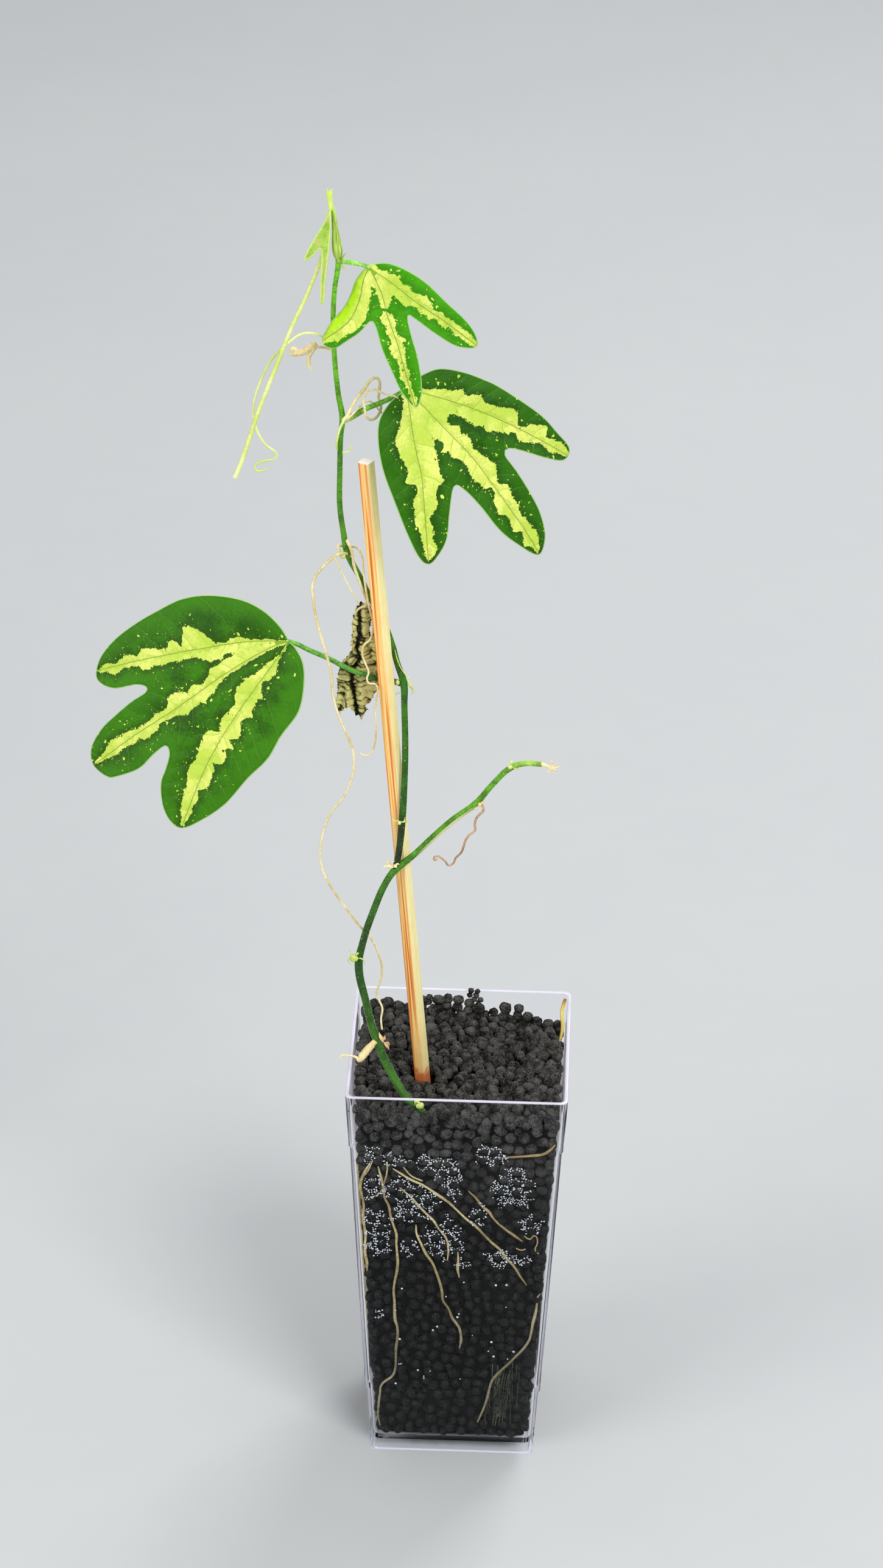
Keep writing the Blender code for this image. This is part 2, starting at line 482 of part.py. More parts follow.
def swept_socket(name, route, radius):
    """A closed round cutter that follows a route, for the buried end of the stem."""
    points = smooth_route(route, SOCKET_STEP)
    rings = []
    for i, point in enumerate(points):
        ahead = points[min(i + 1, len(points) - 1)] - points[max(i - 1, 0)]
        side = ahead.cross(Vector((1.0, 0.0, 0.0))).normalized()
        lift = side.cross(ahead).normalized()
        ring = []
        for k in range(SOCKET_SIDES):
            angle = 2 * math.pi * k / SOCKET_SIDES
            ring.append(point + side * (radius * math.cos(angle)) + lift * (radius * math.sin(angle)))
        rings.append(ring)
    return loft(name, "black_granules", rings)


def stake_prism(name, finish_name, grow, foot_z):
    """The leaning square stake, grown on all sides by a clearance."""
    low = Vector(STAKE_AT_SOIL)
    high = Vector(STAKE_TOP)
    lean = (high - low) / (high.z - low.z)
    reach = (STAKE_SIDE / 2 + grow) * math.sqrt(2)
    rings = []
    for z in (foot_z, high.z + grow):
        centre = low + lean * (z - low.z)
        ring = []
        for k in range(4):
            angle = math.radians(45 - STAKE_TURN + 90 * k)
            ring.append((centre.x + reach * math.cos(angle), centre.y + reach * math.sin(angle), z))
        rings.append(ring)
    return loft(name, finish_name, rings)


def wall_root_route(flat_points):
    """Lay (x, z) points against the inside of the front wall."""
    route = []
    for x, z in flat_points:
        y = -(outer_half(z) - COLLAR_STEP - WALL) + TOUCH_GAP + ROOT_RADIUS
        route.append((x, y, z))
    return route


def node_part(name, finish_name, centre, sizes):
    """A small rounded grown part."""
    mesh = bpy.data.meshes.new(name)
    ball = bmesh.new()
    bmesh.ops.create_uvsphere(ball, u_segments=8, v_segments=6, radius=1.0)
    stretch = Matrix.Diagonal((*[s * MM for s in sizes], 1.0))
    ball.transform(Matrix.Translation(Vector(centre) * MM) @ stretch)
    ball.to_mesh(mesh)
    ball.free()
    place(name, mesh, finish_name)


def bundle(name, finish_name, sections):
    """A folded or crumpled leaf as flattened rings: centre, half width, half depth."""
    rings = []
    for (cx, cy, cz), half_width, half_depth in sections:
        ring = []
        for k in range(BUNDLE_SIDES):
            angle = 2 * math.pi * k / BUNDLE_SIDES
            x = cx + half_width * math.cos(angle)
            y = cy + half_depth * math.sin(angle)
            ring.append((x, y, cz))
        rings.append(ring)
    loft(name, finish_name, rings)


def blade_axes(azimuth, elevation):
    """The blade's own right, up and outward directions."""
    a = math.radians(azimuth)
    e = math.radians(elevation)
    right = Vector((math.cos(a), math.sin(a), 0.0))
    outward = Vector((math.sin(a) * math.cos(e), -math.cos(a) * math.cos(e), math.sin(e)))
    up = outward.cross(right)
    if up.z < 0:
        up = -up
    return right, up, outward


def vein_distance(point, vein):
    """Distance from a blade point to a vein, and which side of it the point is on."""
    best = None
    for a, b in zip(vein, vein[1:]):
        start = Vector(a)
        run = Vector(b) - start
        share = max(0.0, min(1.0, (point - start).dot(run) / run.length_squared))
        gap = point - (start + run * share)
        if best is None or gap.length < best[0]:
            best = (gap.length, run.x * gap.y - run.y * gap.x)
    return best


def blade_relief(point, leaf):
    """Height of the blade above its plane: sunken veins, drooping tips, a folded lobe."""
    size = max(Vector(p).length for p in leaf["outline"])
    nearest = min(vein_distance(point, vein)[0] for vein in leaf["veins"])
    height = VEIN_DEPTH * (1 - math.exp(-nearest / VEIN_REACH))
    height -= leaf["droop"] * (point.length / size) ** 2
    if leaf["folded_lobe"] is not None:
        distance, side = vein_distance(point, leaf["veins"][leaf["folded_lobe"]])
        if side < 0:
            height -= FOLD_SLOPE * distance
    return height


def inside_outline(point, outline, margin):
    """True where a point is inside the outline and away from it by a margin."""
    crossings = 0
    count = len(outline)
    for i in range(count):
        a = outline[i]
        b = outline[(i + 1) % count]
        if (a.y > point.y) != (b.y > point.y):
            if point.x < a.x + (point.y - a.y) / (b.y - a.y) * (b.x - a.x):
                crossings += 1
        near = geometry.intersect_point_line(point, a, b)
        share = max(0.0, min(1.0, near[1]))
        if (a + (b - a) * share - point).length < margin:
            return False
    return crossings % 2 == 1


def blade_points(leaf):
    """The smoothed outline, then rows of points inside it."""
    outline = [p.to_2d() for p in smooth_route([(x, y, 0) for x, y in leaf["outline"]],
                                               OUTLINE_STEP, closed=True)]
    width = INNER_STEP
    xs = [p.x for p in outline]
    ys = [p.y for p in outline]
    inner = []
    row = 0
    y = min(ys)
    while y < max(ys):
        x = min(xs) + (width / 2 if row % 2 else 0.0)
        while x < max(xs):
            point = Vector((x, y))
            if inside_outline(point, outline, width * EDGE_CLEARANCE):
                inner.append(point)
            x += width
        y += width * math.sqrt(3) / 2
        row += 1
    return outline, inner


def blade(name, finish_name, leaf):
    """A thin leaf blade as one closed solid."""
    outline, inner = blade_points(leaf)
    rim = len(outline)
    flat = outline + inner
    result = geometry.delaunay_2d_cdt(flat, [], [list(range(rim))], 1, 1e-5)
    points, triangles = result[0], result[2]
    right, up, outward = blade_axes(leaf["azimuth"], leaf["elevation"])
    base = Vector(leaf["base"])
    mesh = bpy.data.meshes.new(name)
    shell = bmesh.new()
    sides = []
    for offset in (BLADE_THICKNESS / 2, -BLADE_THICKNESS / 2):
        layer = []
        for p in points:
            lift = blade_relief(p, leaf) + offset
            layer.append(shell.verts.new((base + right * p.x + up * p.y + outward * lift) * MM))
        sides.append(layer)
    front, back = sides
    for a, b, c in triangles:
        shell.faces.new((front[a], front[b], front[c]))
        shell.faces.new((back[c], back[b], back[a]))
    for i in range(rim):
        j = (i + 1) % rim
        shell.faces.new((front[j], front[i], back[i], back[j]))
    bmesh.ops.recalc_face_normals(shell, faces=shell.faces)
    shell.to_mesh(mesh)
    shell.free()
    place(name, mesh, finish_name)


def old_stem_and_shoot():
    """The two thick stems. The shoot starts thinner, where it leaves the old stem's fork."""
    tube("old_stem", "stem_green", OLD_STEM_ROUTE, OLD_STEM_RADIUS, OLD_STEM_RADIUS * TIP_SHARE,
         STEM_STEP, 2)
    shoot = tube("climbing_shoot", "stem_green", SHOOT_ROUTE, SHOOT_RADIUS,
                 SHOOT_RADIUS * TIP_SHARE, STEM_STEP, 2)
    shoot.data.splines[0].points[0].radius = SHOOT_FOOT_SHARE


def build():
    clear_scene()
    axis = bpy.data.objects.new("pot_axis", None)
    axis.location = Vector(POT_OFFSET) * MM
    bpy.context.scene.collection.objects.link(axis)
    pot()
    substrate()
    stake_prism("bamboo_stake", "bamboo", 0.0, STAKE_FOOT_Z)
    old_stem_and_shoot()
    for name, finish_name, start_radius, end_radius, route in THIN_PIECES:
        tube(name, finish_name, route, start_radius, end_radius, THIN_STEP)
    for i, flat_points in enumerate(WALL_ROOTS):
        tube("wall_root_%d" % (i + 1), "root_tan", wall_root_route(flat_points),
             ROOT_RADIUS, ROOT_RADIUS * TIP_SHARE, STEM_STEP)
    for name, finish_name, centre, sizes in NODE_PARTS:
        node_part(name, finish_name, centre, sizes)
    for name, leaf in BLADES.items():
        blade(name, "young_green" if name == "young_leaf" else "leaf_green", leaf)
    bundle("young_leaf_folded", "young_green", FOLDED_YOUNG_LEAF)
    bundle("dried_leaf", "dried_olive", DRIED_LEAF)


build()
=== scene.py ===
# %% [markdown]
# # A passion flower vine in a clear pot
# This lesson dresses a imported part: a young vine cutting, its bamboo stake, and a tall clear pot of
# black granules. The imported solids fix where everything is. Each one is either given a finish of
# its own or covered by a finer piece in the same place. We start by loading that frame.

import math
import random

import bpy
import numpy as np
from mathutils import Matrix, Vector, geometry, noise


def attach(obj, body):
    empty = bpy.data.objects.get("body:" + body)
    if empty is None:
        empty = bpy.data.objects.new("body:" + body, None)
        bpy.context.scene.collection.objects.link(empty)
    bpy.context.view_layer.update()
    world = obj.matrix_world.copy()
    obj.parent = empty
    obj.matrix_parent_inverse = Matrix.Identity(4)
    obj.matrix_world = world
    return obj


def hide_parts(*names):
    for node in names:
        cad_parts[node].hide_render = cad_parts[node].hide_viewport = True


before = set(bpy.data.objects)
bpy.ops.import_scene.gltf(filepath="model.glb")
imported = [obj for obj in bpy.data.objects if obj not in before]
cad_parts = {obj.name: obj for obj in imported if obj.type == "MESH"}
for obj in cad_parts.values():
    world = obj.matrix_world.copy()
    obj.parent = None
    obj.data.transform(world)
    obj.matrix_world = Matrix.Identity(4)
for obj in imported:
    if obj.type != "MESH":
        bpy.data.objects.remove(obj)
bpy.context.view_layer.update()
bpy.ops.object.select_all(action="DESELECT")
print(len(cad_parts), "nodes in the frame")

# %% [markdown]
# ## Lengths and colours
# The plant is easiest to think of in millimetres, measured from the pot's own axis. The vine leans
# out to the left, so that axis stands off the model's centre. Colours are easiest to choose as
# they look on a screen, so a small function turns them into the linear values that shaders use.

# %% Units, places and colours
MM = 0.001
POT_OFFSET = 34.5
random.seed(7)


def at(point):
    """A place in metres, from millimetres in the pot's own frame."""
    return Vector(((point[0] + POT_OFFSET) * MM, point[1] * MM, point[2] * MM))


def screen_colour(red, green, blue):
    """A linear colour from the values 0 to 255 that it has on a screen."""
    linear = []
    for value in (red, green, blue):
        share = value / 255
        linear.append(share / 12.92 if share <= 0.04045 else ((share + 0.055) / 1.055) ** 2.4)
    return (*linear, 1.0)


print("origin of the pot:", tuple(at((0, 0, 0))))

# %% [markdown]
# ## Camera
# The plant is photographed from about 1.4 metres away, from above, with a long lens. The camera
# gets that place, tilt and slight roll, so that a render can be laid beside the photograph.

# %% Camera
CAMERA_PLACE = (0.0666, -1.2430, 0.8646)
CAMERA_PITCH = 28.11
CAMERA_YAW = 1.76
CAMERA_ROLL = 0.80
LENS = 121.46
SENSOR_HEIGHT = 36.0

camera_data = bpy.data.cameras.new("camera")
camera_data.lens = LENS
camera_data.sensor_fit = "VERTICAL"
camera_data.sensor_height = SENSOR_HEIGHT
camera = bpy.data.objects.new("camera", camera_data)
bpy.context.scene.collection.objects.link(camera)
turn = Matrix.Rotation(math.radians(CAMERA_YAW), 4, "Z")
tilt = Matrix.Rotation(math.radians(90 - CAMERA_PITCH), 4, "X")
roll = Matrix.Rotation(math.radians(CAMERA_ROLL), 4, "Z")
camera.matrix_world = Matrix.Translation(CAMERA_PLACE) @ turn @ tilt @ roll
bpy.context.scene.camera = camera
bpy.context.scene.view_settings.view_transform = "Standard"
print("camera lens", camera_data.lens, "mm")

# %% [markdown]
# ## Finishes as graphs of nodes
# A finish is a graph of shader nodes. Building one takes many small steps, so each common step
# gets a helper: do a sum, map a range, blend two colours, read a noise. What is passed to a helper
# can be a number, another node's socket, or a colour of three screen values.

# %% Node helpers


def feed(socket, value):
    """Link another socket, or fill in a number or a colour of three screen values."""
    if isinstance(value, bpy.types.NodeSocket):
        socket.id_data.links.new(value, socket)
    elif socket.type == "RGBA" and len(value) == 3:
        socket.default_value = screen_colour(*value)
    else:
        socket.default_value = value


def add_node(tree, kind, inputs=None, **settings):
    """Add a shader node, set it up, and feed its inputs."""
    made = tree.nodes.new("ShaderNode" + kind)
    for name, value in settings.items():
        setattr(made, name, value)
    for name, value in (inputs or {}).items():
        feed(made.inputs[name], value)
    return made


def node_on(kind, inputs, **settings):
    """Add a node to the graph that the first socket among its inputs belongs to."""
    source = next(value for value in inputs.values() if isinstance(value, bpy.types.NodeSocket))
    return add_node(source.id_data, kind, inputs, **settings)


def maths(operation, first, second=0.0):
    """One arithmetic step between two values or sockets."""
    return node_on("Math", {0: first, 1: second}, operation=operation).outputs[0]


def plus(first, second):
    """The sum of two values."""
    return maths("ADD", first, second)


def minus(first, second):
    """The first value less the second."""
    return maths("SUBTRACT", first, second)


def times(first, second):
    """The product of two values."""
    return maths("MULTIPLY", first, second)


def larger(first, second):
    """The larger of two values."""
    return maths("MAXIMUM", first, second)


def remap(value, low, high, new_low=0.0, new_high=1.0):
    """Map a value smoothly from one range to another."""
    return node_on("MapRange", {
        "Value": value, "From Min": low, "From Max": high, "To Min": new_low, "To Max": new_high,
    }, interpolation_type="SMOOTHSTEP").outputs[0]


print("node helpers ready")

# %% Colours, noise and places in a graph


def blend_colour(factor, first, second):
    """Mix two colours or colour sockets."""
    return node_on("Mix", {0: factor, 6: first, 7: second}, data_type="RGBA").outputs[2]


def colour_steps(value, steps):
    """A colour ramp from (position, colour) steps."""
    made = node_on("ValToRGB", {"Fac": value})
    ramp = made.color_ramp.elements
    while len(ramp) < len(steps):
        ramp.new(1.0)
    for element, (position, colour) in zip(ramp, steps):
        element.position = position
        element.color = screen_colour(*colour)
    return made.outputs["Color"]


def noise_value(place, scale, detail=2.0):
    """Smooth noise from 0 to 1, with a scale in marks per millimetre."""
    return node_on("TexNoise", {"Vector": place, "Scale": scale, "Detail": detail}).outputs["Fac"]


def object_place(tree):
    """Object coordinates in millimetres, so that scales read as marks per millimetre."""
    source = add_node(tree, "TexCoord").outputs["Object"]
    return node_on("VectorMath", {0: source, "Scale": 1 / MM}, operation="SCALE").outputs[0]


def height_of(place):
    """The height of a place, in millimetres above the ground."""
    return node_on("SeparateXYZ", {0: place}).outputs["Z"]


def colour_by_height(place, low, high, steps):
    """Colours from the low to the high place, from (height, colour) steps in millimetres."""
    share = node_on("MapRange", {
        "Value": height_of(place), "From Min": low, "From Max": high}).outputs[0]
    return colour_steps(share, [((z - low) / (high - low), colour) for z, colour in steps])


print("colour helpers ready")

# %% Materials and groups


def new_material(name, roughness=0.5, **settings):
    """A material with plain values filled in; returns it, its shader and its places."""
    material = bpy.data.materials.new(name)
    material.use_nodes = True
    tree = material.node_tree
    shader = tree.nodes["Principled BSDF"]
    shader.inputs["Roughness"].default_value = roughness
    for key, value in settings.items():
        shader.inputs[key.replace("_", " ")].default_value = value
    return material, shader, object_place(tree)


def paint(shader, colour):
    """Feed a colour to the shader."""
    feed(shader.inputs["Base Color"], colour)


def bump_onto(shader, height, depth, strength=1.0):
    """Feed a height in millimetres to the shader's normal."""
    made = node_on("Bump", {"Height": height, "Distance": depth * MM, "Strength": strength})
    feed(shader.inputs["Normal"], made.outputs["Normal"])


def new_group(name, inputs, output):
    """A shader group; each input has a start value, or None where it takes a place."""
    group = bpy.data.node_groups.new(name, "ShaderNodeTree")
    for socket_name, value in inputs.items():
        kind = "NodeSocketVector" if value is None else "NodeSocketFloat"
        socket = group.interface.new_socket(socket_name, in_out="INPUT", socket_type=kind)
        if value is not None:
            socket.default_value = value
    group.interface.new_socket(output, in_out="OUTPUT", socket_type="NodeSocketFloat")
    given = group.nodes.new("NodeGroupInput").outputs
    return group, given, group.nodes.new("NodeGroupOutput").inputs


print("material helpers ready")

# %% [markdown]
# ### Mottle, a shared effect
# Nothing that grew is one flat colour. Two sizes of noise laid over each other give the uneven
# tone of leaf, bark, root and soil. It is built once as a group with named sockets, and each
# material places it with its own sizes.

# %% The mottle group
mottle_group, given, result = new_group(
    "mottle", {"Place": None, "Coarse": 0.3, "Fine": 2.0, "Fine Share": 0.35}, "Tone")
coarse_tone = noise_value(given["Place"], given["Coarse"])
fine_tone = noise_value(given["Place"], given["Fine"], 3.0)
fine_part = times(fine_tone, given["Fine Share"])
coarse_part = times(coarse_tone, minus(1.0, given["Fine Share"]))
feed(result["Tone"], plus(fine_part, coarse_part))


def mottle(place, coarse, fine, fine_share=0.35):
    """The mottle group's tone, with the sizes of its two noises."""
    return node_on("Group", {
        "Place": place, "Coarse": coarse, "Fine": fine, "Fine Share": fine_share,
    }, node_tree=mottle_group).outputs["Tone"]


def mottled_material(name, dark, light, sizes, roughness):
    """A plain finish between two colours."""
    material, shader, place = new_material(name, roughness)
    paint(shader, blend_colour(mottle(place, *sizes), dark, light))
    return material


print("group:", mottle_group.name)

# %% [markdown]
# ### Flecks, a shared effect
# Small separate spots are what make skin, soil and leaf read at close range. Cells of a Voronoi
# texture are kept as spots where the cell's own random value allows it, so that the spots are
# scattered and of mixed size.

# %% The flecks group
flecks_group, given, result = new_group(
    "flecks", {"Place": None, "Scale": 1.0, "Size": 0.25, "Share": 0.3}, "Mask")
cells = node_on("TexVoronoi", {"Vector": given["Place"], "Scale": given["Scale"]})
cell_values = node_on("SeparateColor", {"Color": cells.outputs["Color"]}).outputs
spot_size = times(given["Size"], plus(cell_values["Red"], 0.5))
inside_spot = maths("LESS_THAN", cells.outputs["Distance"], spot_size)
chosen = maths("LESS_THAN", cell_values["Green"], given["Share"])
feed(result["Mask"], times(inside_spot, chosen))


def flecks(place, scale, size, share):
    """The flecks group's mask: how many marks, how large, and the share that is kept."""
    return node_on("Group", {
        "Place": place, "Scale": scale, "Size": size, "Share": share,
    }, node_tree=flecks_group).outputs["Mask"]


def wavering(place, scale, reach):
    """Places pushed about by noise, so that round marks become ragged."""
    push = node_on("TexNoise", {"Vector": place, "Scale": scale}).outputs["Color"]
    centred = node_on("VectorMath", {0: push, 1: (0.5, 0.5, 0.5)}, operation="SUBTRACT").outputs[0]
    scaled = node_on("VectorMath", {0: centred, "Scale": reach}, operation="SCALE").outputs[0]
    return node_on("VectorMath", {0: place, 1: scaled}, operation="ADD").outputs[0]


print("group:", flecks_group.name)

# %% [markdown]
# ## Floor and light
# A wide flat pale sheet gives a plain floor from every side. Large soft lamps keep the shadows
# gentle: one in front to the right, one in front to the left, and a weaker one behind.

# %% Floor and lamps
FLOOR_SIZE = 24.0
PLANT_MIDDLE = (0.0, 0.0, 0.2)
AIR_COLOUR = (0.95, 0.97, 1.0, 1.0)
AIR_STRENGTH = 0.5

bpy.ops.mesh.primitive_plane_add(size=FLOOR_SIZE, location=(0, 0, 0))
floor = bpy.context.object
floor.name = "floor_sheet"
floor.data.materials.append(
    mottled_material("pale_sheet", (194, 196, 197), (203, 205, 205), (0.004, 0.05), 0.85))


def soft_lamp(name, place, size, power):
    """A square lamp at a place, turned to the plant's middle."""
    data = bpy.data.lights.new(name, "AREA")
    data.shape = "SQUARE"
    data.size = size
    data.energy = power
    lamp = bpy.data.objects.new(name, data)
    bpy.context.scene.collection.objects.link(lamp)
    lamp.location = place
    lamp.rotation_euler = (Vector(PLANT_MIDDLE) - Vector(place)).to_track_quat("-Z", "Y").to_euler()


soft_lamp("key_lamp", (0.7, -1.1, 1.4), 0.7, 18.0)
soft_lamp("fill_lamp", (-1.2, -0.9, 0.9), 0.9, 10.0)
soft_lamp("back_lamp", (0.5, 1.0, 1.2), 0.6, 9.0)
world = bpy.data.worlds.new("studio_air")
world.use_nodes = True
air = world.node_tree.nodes["Background"].inputs
air["Color"].default_value = AIR_COLOUR
air["Strength"].default_value = AIR_STRENGTH
bpy.context.scene.world = world
print("floor and", len(bpy.data.lights), "lamps")

# %% [markdown]
# ## Helpers for pieces
# Every finished piece rides on the plant's one body and stands for the imported nodes it covers.
# Stems, tendrils and roots are all round and tapering, so one helper makes them: a curve through
# chosen points, given a round section, and then turned into a mesh. The curve's automatic handles
# give the soft bends of something that grew.

# %% Piece helpers
SMOOTH_ANGLE = math.radians(40)


def pick(*pieces):
    """Select only these pieces, the first of them active."""
    bpy.ops.object.select_all(action="DESELECT")
    for piece in pieces:
        piece.select_set(True)
        bpy.context.view_layer.objects.active = pieces[0]


def keep_piece(piece, material, slot, *nodes):
    """Give a piece its finish and tie it to the frame."""
    if material is not None:
        piece.data.materials.clear()
        piece.data.materials.append(material)
    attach(piece, "root")
    if nodes:
        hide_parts(*nodes)
    piece.select_set(False)


def joined(name, pieces):
    """Join several meshes into one piece."""
    pick(*pieces)
    bpy.ops.object.join()
    pieces[0].name = name
    return pieces[0]


def mesh_piece(name, points, faces):
    """A new object from points in metres and faces."""
    mesh = bpy.data.meshes.new(name)
    mesh.from_pydata(points, [], faces)
    piece = bpy.data.objects.new(name, mesh)
    bpy.context.scene.collection.objects.link(piece)
    return piece


def keep_measure(piece, name, values):
    """Store one value at each point of a piece, for its material to read."""
    layer = piece.data.attributes.new(name, "FLOAT", "POINT")
    layer.data.foreach_set("value", np.array(values, np.float32))


def apply_modifier(piece, kind, **settings):
    """Add a modifier, set it up and apply it."""
    pick(piece)
    made = piece.modifiers.new(kind.lower(), kind)
    for key, value in settings.items():
        setattr(made, key, value)
    bpy.ops.object.modifier_apply(modifier=made.name)


print("piece helpers ready")

# %% Tubes and smooth lines


def taper(route, start, end, swellings=()):
    """Radii along a route from start to end, with wider places given as (index, factor)."""
    radii = [start + (end - start) * i / max(1, len(route) - 1) for i in range(len(route))]
    for index, factor in swellings:
        radii[index] *= factor
    return radii


def grown_tube(name, route, radii, roundness=2, smoothness=5):
    """A round piece along smooth route points in millimetres."""
    pick()
    bpy.ops.curve.primitive_bezier_curve_add(location=(0, 0, 0))
    path = bpy.context.object
    path.name = name
    path.data.dimensions = "3D"
    spline = path.data.splines[0]
    spline.bezier_points.add(len(route) - 2)
    for knot, point, radius in zip(spline.bezier_points, route, radii):
        knot.co = at(point)
        knot.radius = radius
        knot.handle_left_type = "AUTO"
        knot.handle_right_type = "AUTO"
    path.data.resolution_u = smoothness
    path.data.bevel_depth = MM
    path.data.bevel_resolution = roundness
    path.data.use_fill_caps = True
    bpy.ops.object.convert(target="MESH")
    return bpy.context.object


def smooth_line(points, step, closed=False):
    """Sample a smooth flat curve through the points, about one sample every step."""
    knots = np.array(points, float)
    count = len(knots)
    samples = []
    for i in range(count if closed else count - 1):
        before = knots[i - 1] if closed or i > 0 else 2 * knots[0] - knots[1]
        start, end = knots[i], knots[(i + 1) % count]
        after = knots[(i + 2) % count] if closed or i + 2 < count else 2 * end - start
        pieces = max(1, round(float(np.linalg.norm(end - start)) / step))
        for k in range(pieces):
            t = k / pieces
            bend = (before * 2 - start * 5 + end * 4 - after) * t * t
            bend = bend + (start * 3 - before - end * 3 + after) * t ** 3
            samples.append((start * 2 + (end - before) * t + bend) / 2)
    if not closed:
        samples.append(knots[-1])
    return np.array(samples)


print("tube and line helpers ready")

# %% [markdown]
# ## The variegated leaves
# These leaves are what the plant is grown for. Each has three lobes, and a ragged yellow-green
# band follows the main vein of each lobe. The band's edge steps at the small side veins, and
# little islands of the same colour lie beside it. A painted image would do, but a pattern that is
# computed from the veins stays sharp at any distance. So the blade is a dense mesh that carries
# its own measures: how far inside the band each point is, how far from the vein, how far from the
# margin, and where it lies between side veins. The material turns those measures into colour.
#
# The half width of each band is given at stations along its vein, as (share of the vein, width),
# first on the left of someone walking from the base to the tip, then on the right.

# %% The upper leaf's outline, veins and bands
LEAF_UPPER = {
    "base": (-25.6, -16.0, 354.9), "azimuth": 8.0, "elevation": 14.0, "droop": 3.0,
    "folded_lobe": 0, "step": 0.85, "rim_step": 0.8,
    "outline": [
        (0, 0.5), (4.5, 1), (9.5, -1), (14.5, -4.5), (19.5, -9.5), (24.5, -14.5), (27, -18.5),
        (27, -21.5), (22, -21), (16.5, -17.5), (12, -14), (9.7, -12.7), (10.5, -17.5), (12, -23),
        (13, -29), (13, -33.5), (11.5, -36.5), (8, -32.5), (5.5, -27), (3, -21), (1.5, -15.5),
        (0.2, -13.8), (-2.5, -16.5), (-5.5, -18.5), (-9, -20.5), (-12, -19), (-10, -15), (-6.5, -11),
        (-4.5, -7.5), (-3, -3.5), (-0.5, 0)],
    "veins": [
        [(0, 0), (-1.5, -4), (-2.5, -8.5), (-5.5, -14), (-12, -18.7)],
        [(0, 0), (3, -6.5), (4.5, -12.5), (7, -20), (9, -27.5), (11.4, -36)],
        [(0, 0), (6, -4.5), (12, -9.5), (19, -14.5), (27, -21)]],
    "bands": [
        ([(0, 0.8), (0.1, 1.6), (0.25, 2.4), (0.4, 2.6), (0.55, 3.0), (0.65, 3.0), (0.72, 2.4),
          (0.8, 2.0), (0.87, 2.0), (0.9, 1.4), (1, 0.5)],
         [(0, 9.0), (1, 9.0)]),
        ([(0, 1.5), (0.1, 2.5), (0.15, 2.2), (0.16, 1.4), (0.22, 2.2), (0.25, 2.3), (0.27, 1.2),
          (0.3, 0.9), (0.31, -0.6), (0.325, -0.6), (0.335, 1.0), (0.37, 1.3), (0.42, 1.5), (0.45, 0.9),
          (0.51, 0.9), (0.545, 2.9), (0.555, 1.2), (0.6, 1.5), (0.65, 1.0), (0.71, 0.7), (0.78, 1.2),
          (0.81, 0.4), (0.84, 0.7), (0.88, 0.3), (0.95, 1.0), (1, 0.4)],
         [(0, 1.2), (0.1, 2.0), (0.15, 1.0), (0.2, 1.2), (0.25, 0.9), (0.29, 1.3), (0.31, -0.6),
          (0.325, -0.6), (0.335, 2.1), (0.37, 2.0), (0.41, 1.4), (0.47, 1.7), (0.5, 1.2), (0.53, 1.2),
          (0.56, 2.3), (0.6, 2.4), (0.64, 1.6), (0.66, 1.0), (0.73, 1.3), (0.79, 1.8), (0.81, 0.9),
          (0.86, 1.1), (0.9, 0.5), (1, 0.4)]),
        ([(0, 0.8), (0.09, 1.1), (0.18, 2.1), (0.22, 2.6), (0.235, 0.9), (0.25, 2.7), (0.27, 1.2),
          (0.3, 1.8), (0.335, 2.3), (0.36, 1.6), (0.43, 2.3), (0.49, 2.6), (0.55, 2.0), (0.575, 0.8),
          (0.64, 1.5), (0.68, 0.9), (0.75, 1.3), (0.83, 1.2), (0.91, 1.6), (0.95, 0.9), (1, 0.6)],
         [(0, 1.0), (0.1, 2.2), (0.2, 2.6), (0.25, 2.1), (0.32, 2.2), (0.4, 2.5), (0.42, 1.4),
          (0.46, 1.2), (0.5, 1.6), (0.56, 1.0), (0.585, 2.0), (0.62, 1.0), (0.69, 1.3), (0.715, 1.6),
          (0.74, 0.6), (0.83, 1.3), (0.87, 0.6), (0.92, 0.9), (1, 0.6)])],
}
print("upper leaf:", len(LEAF_UPPER["outline"]), "points on the margin")

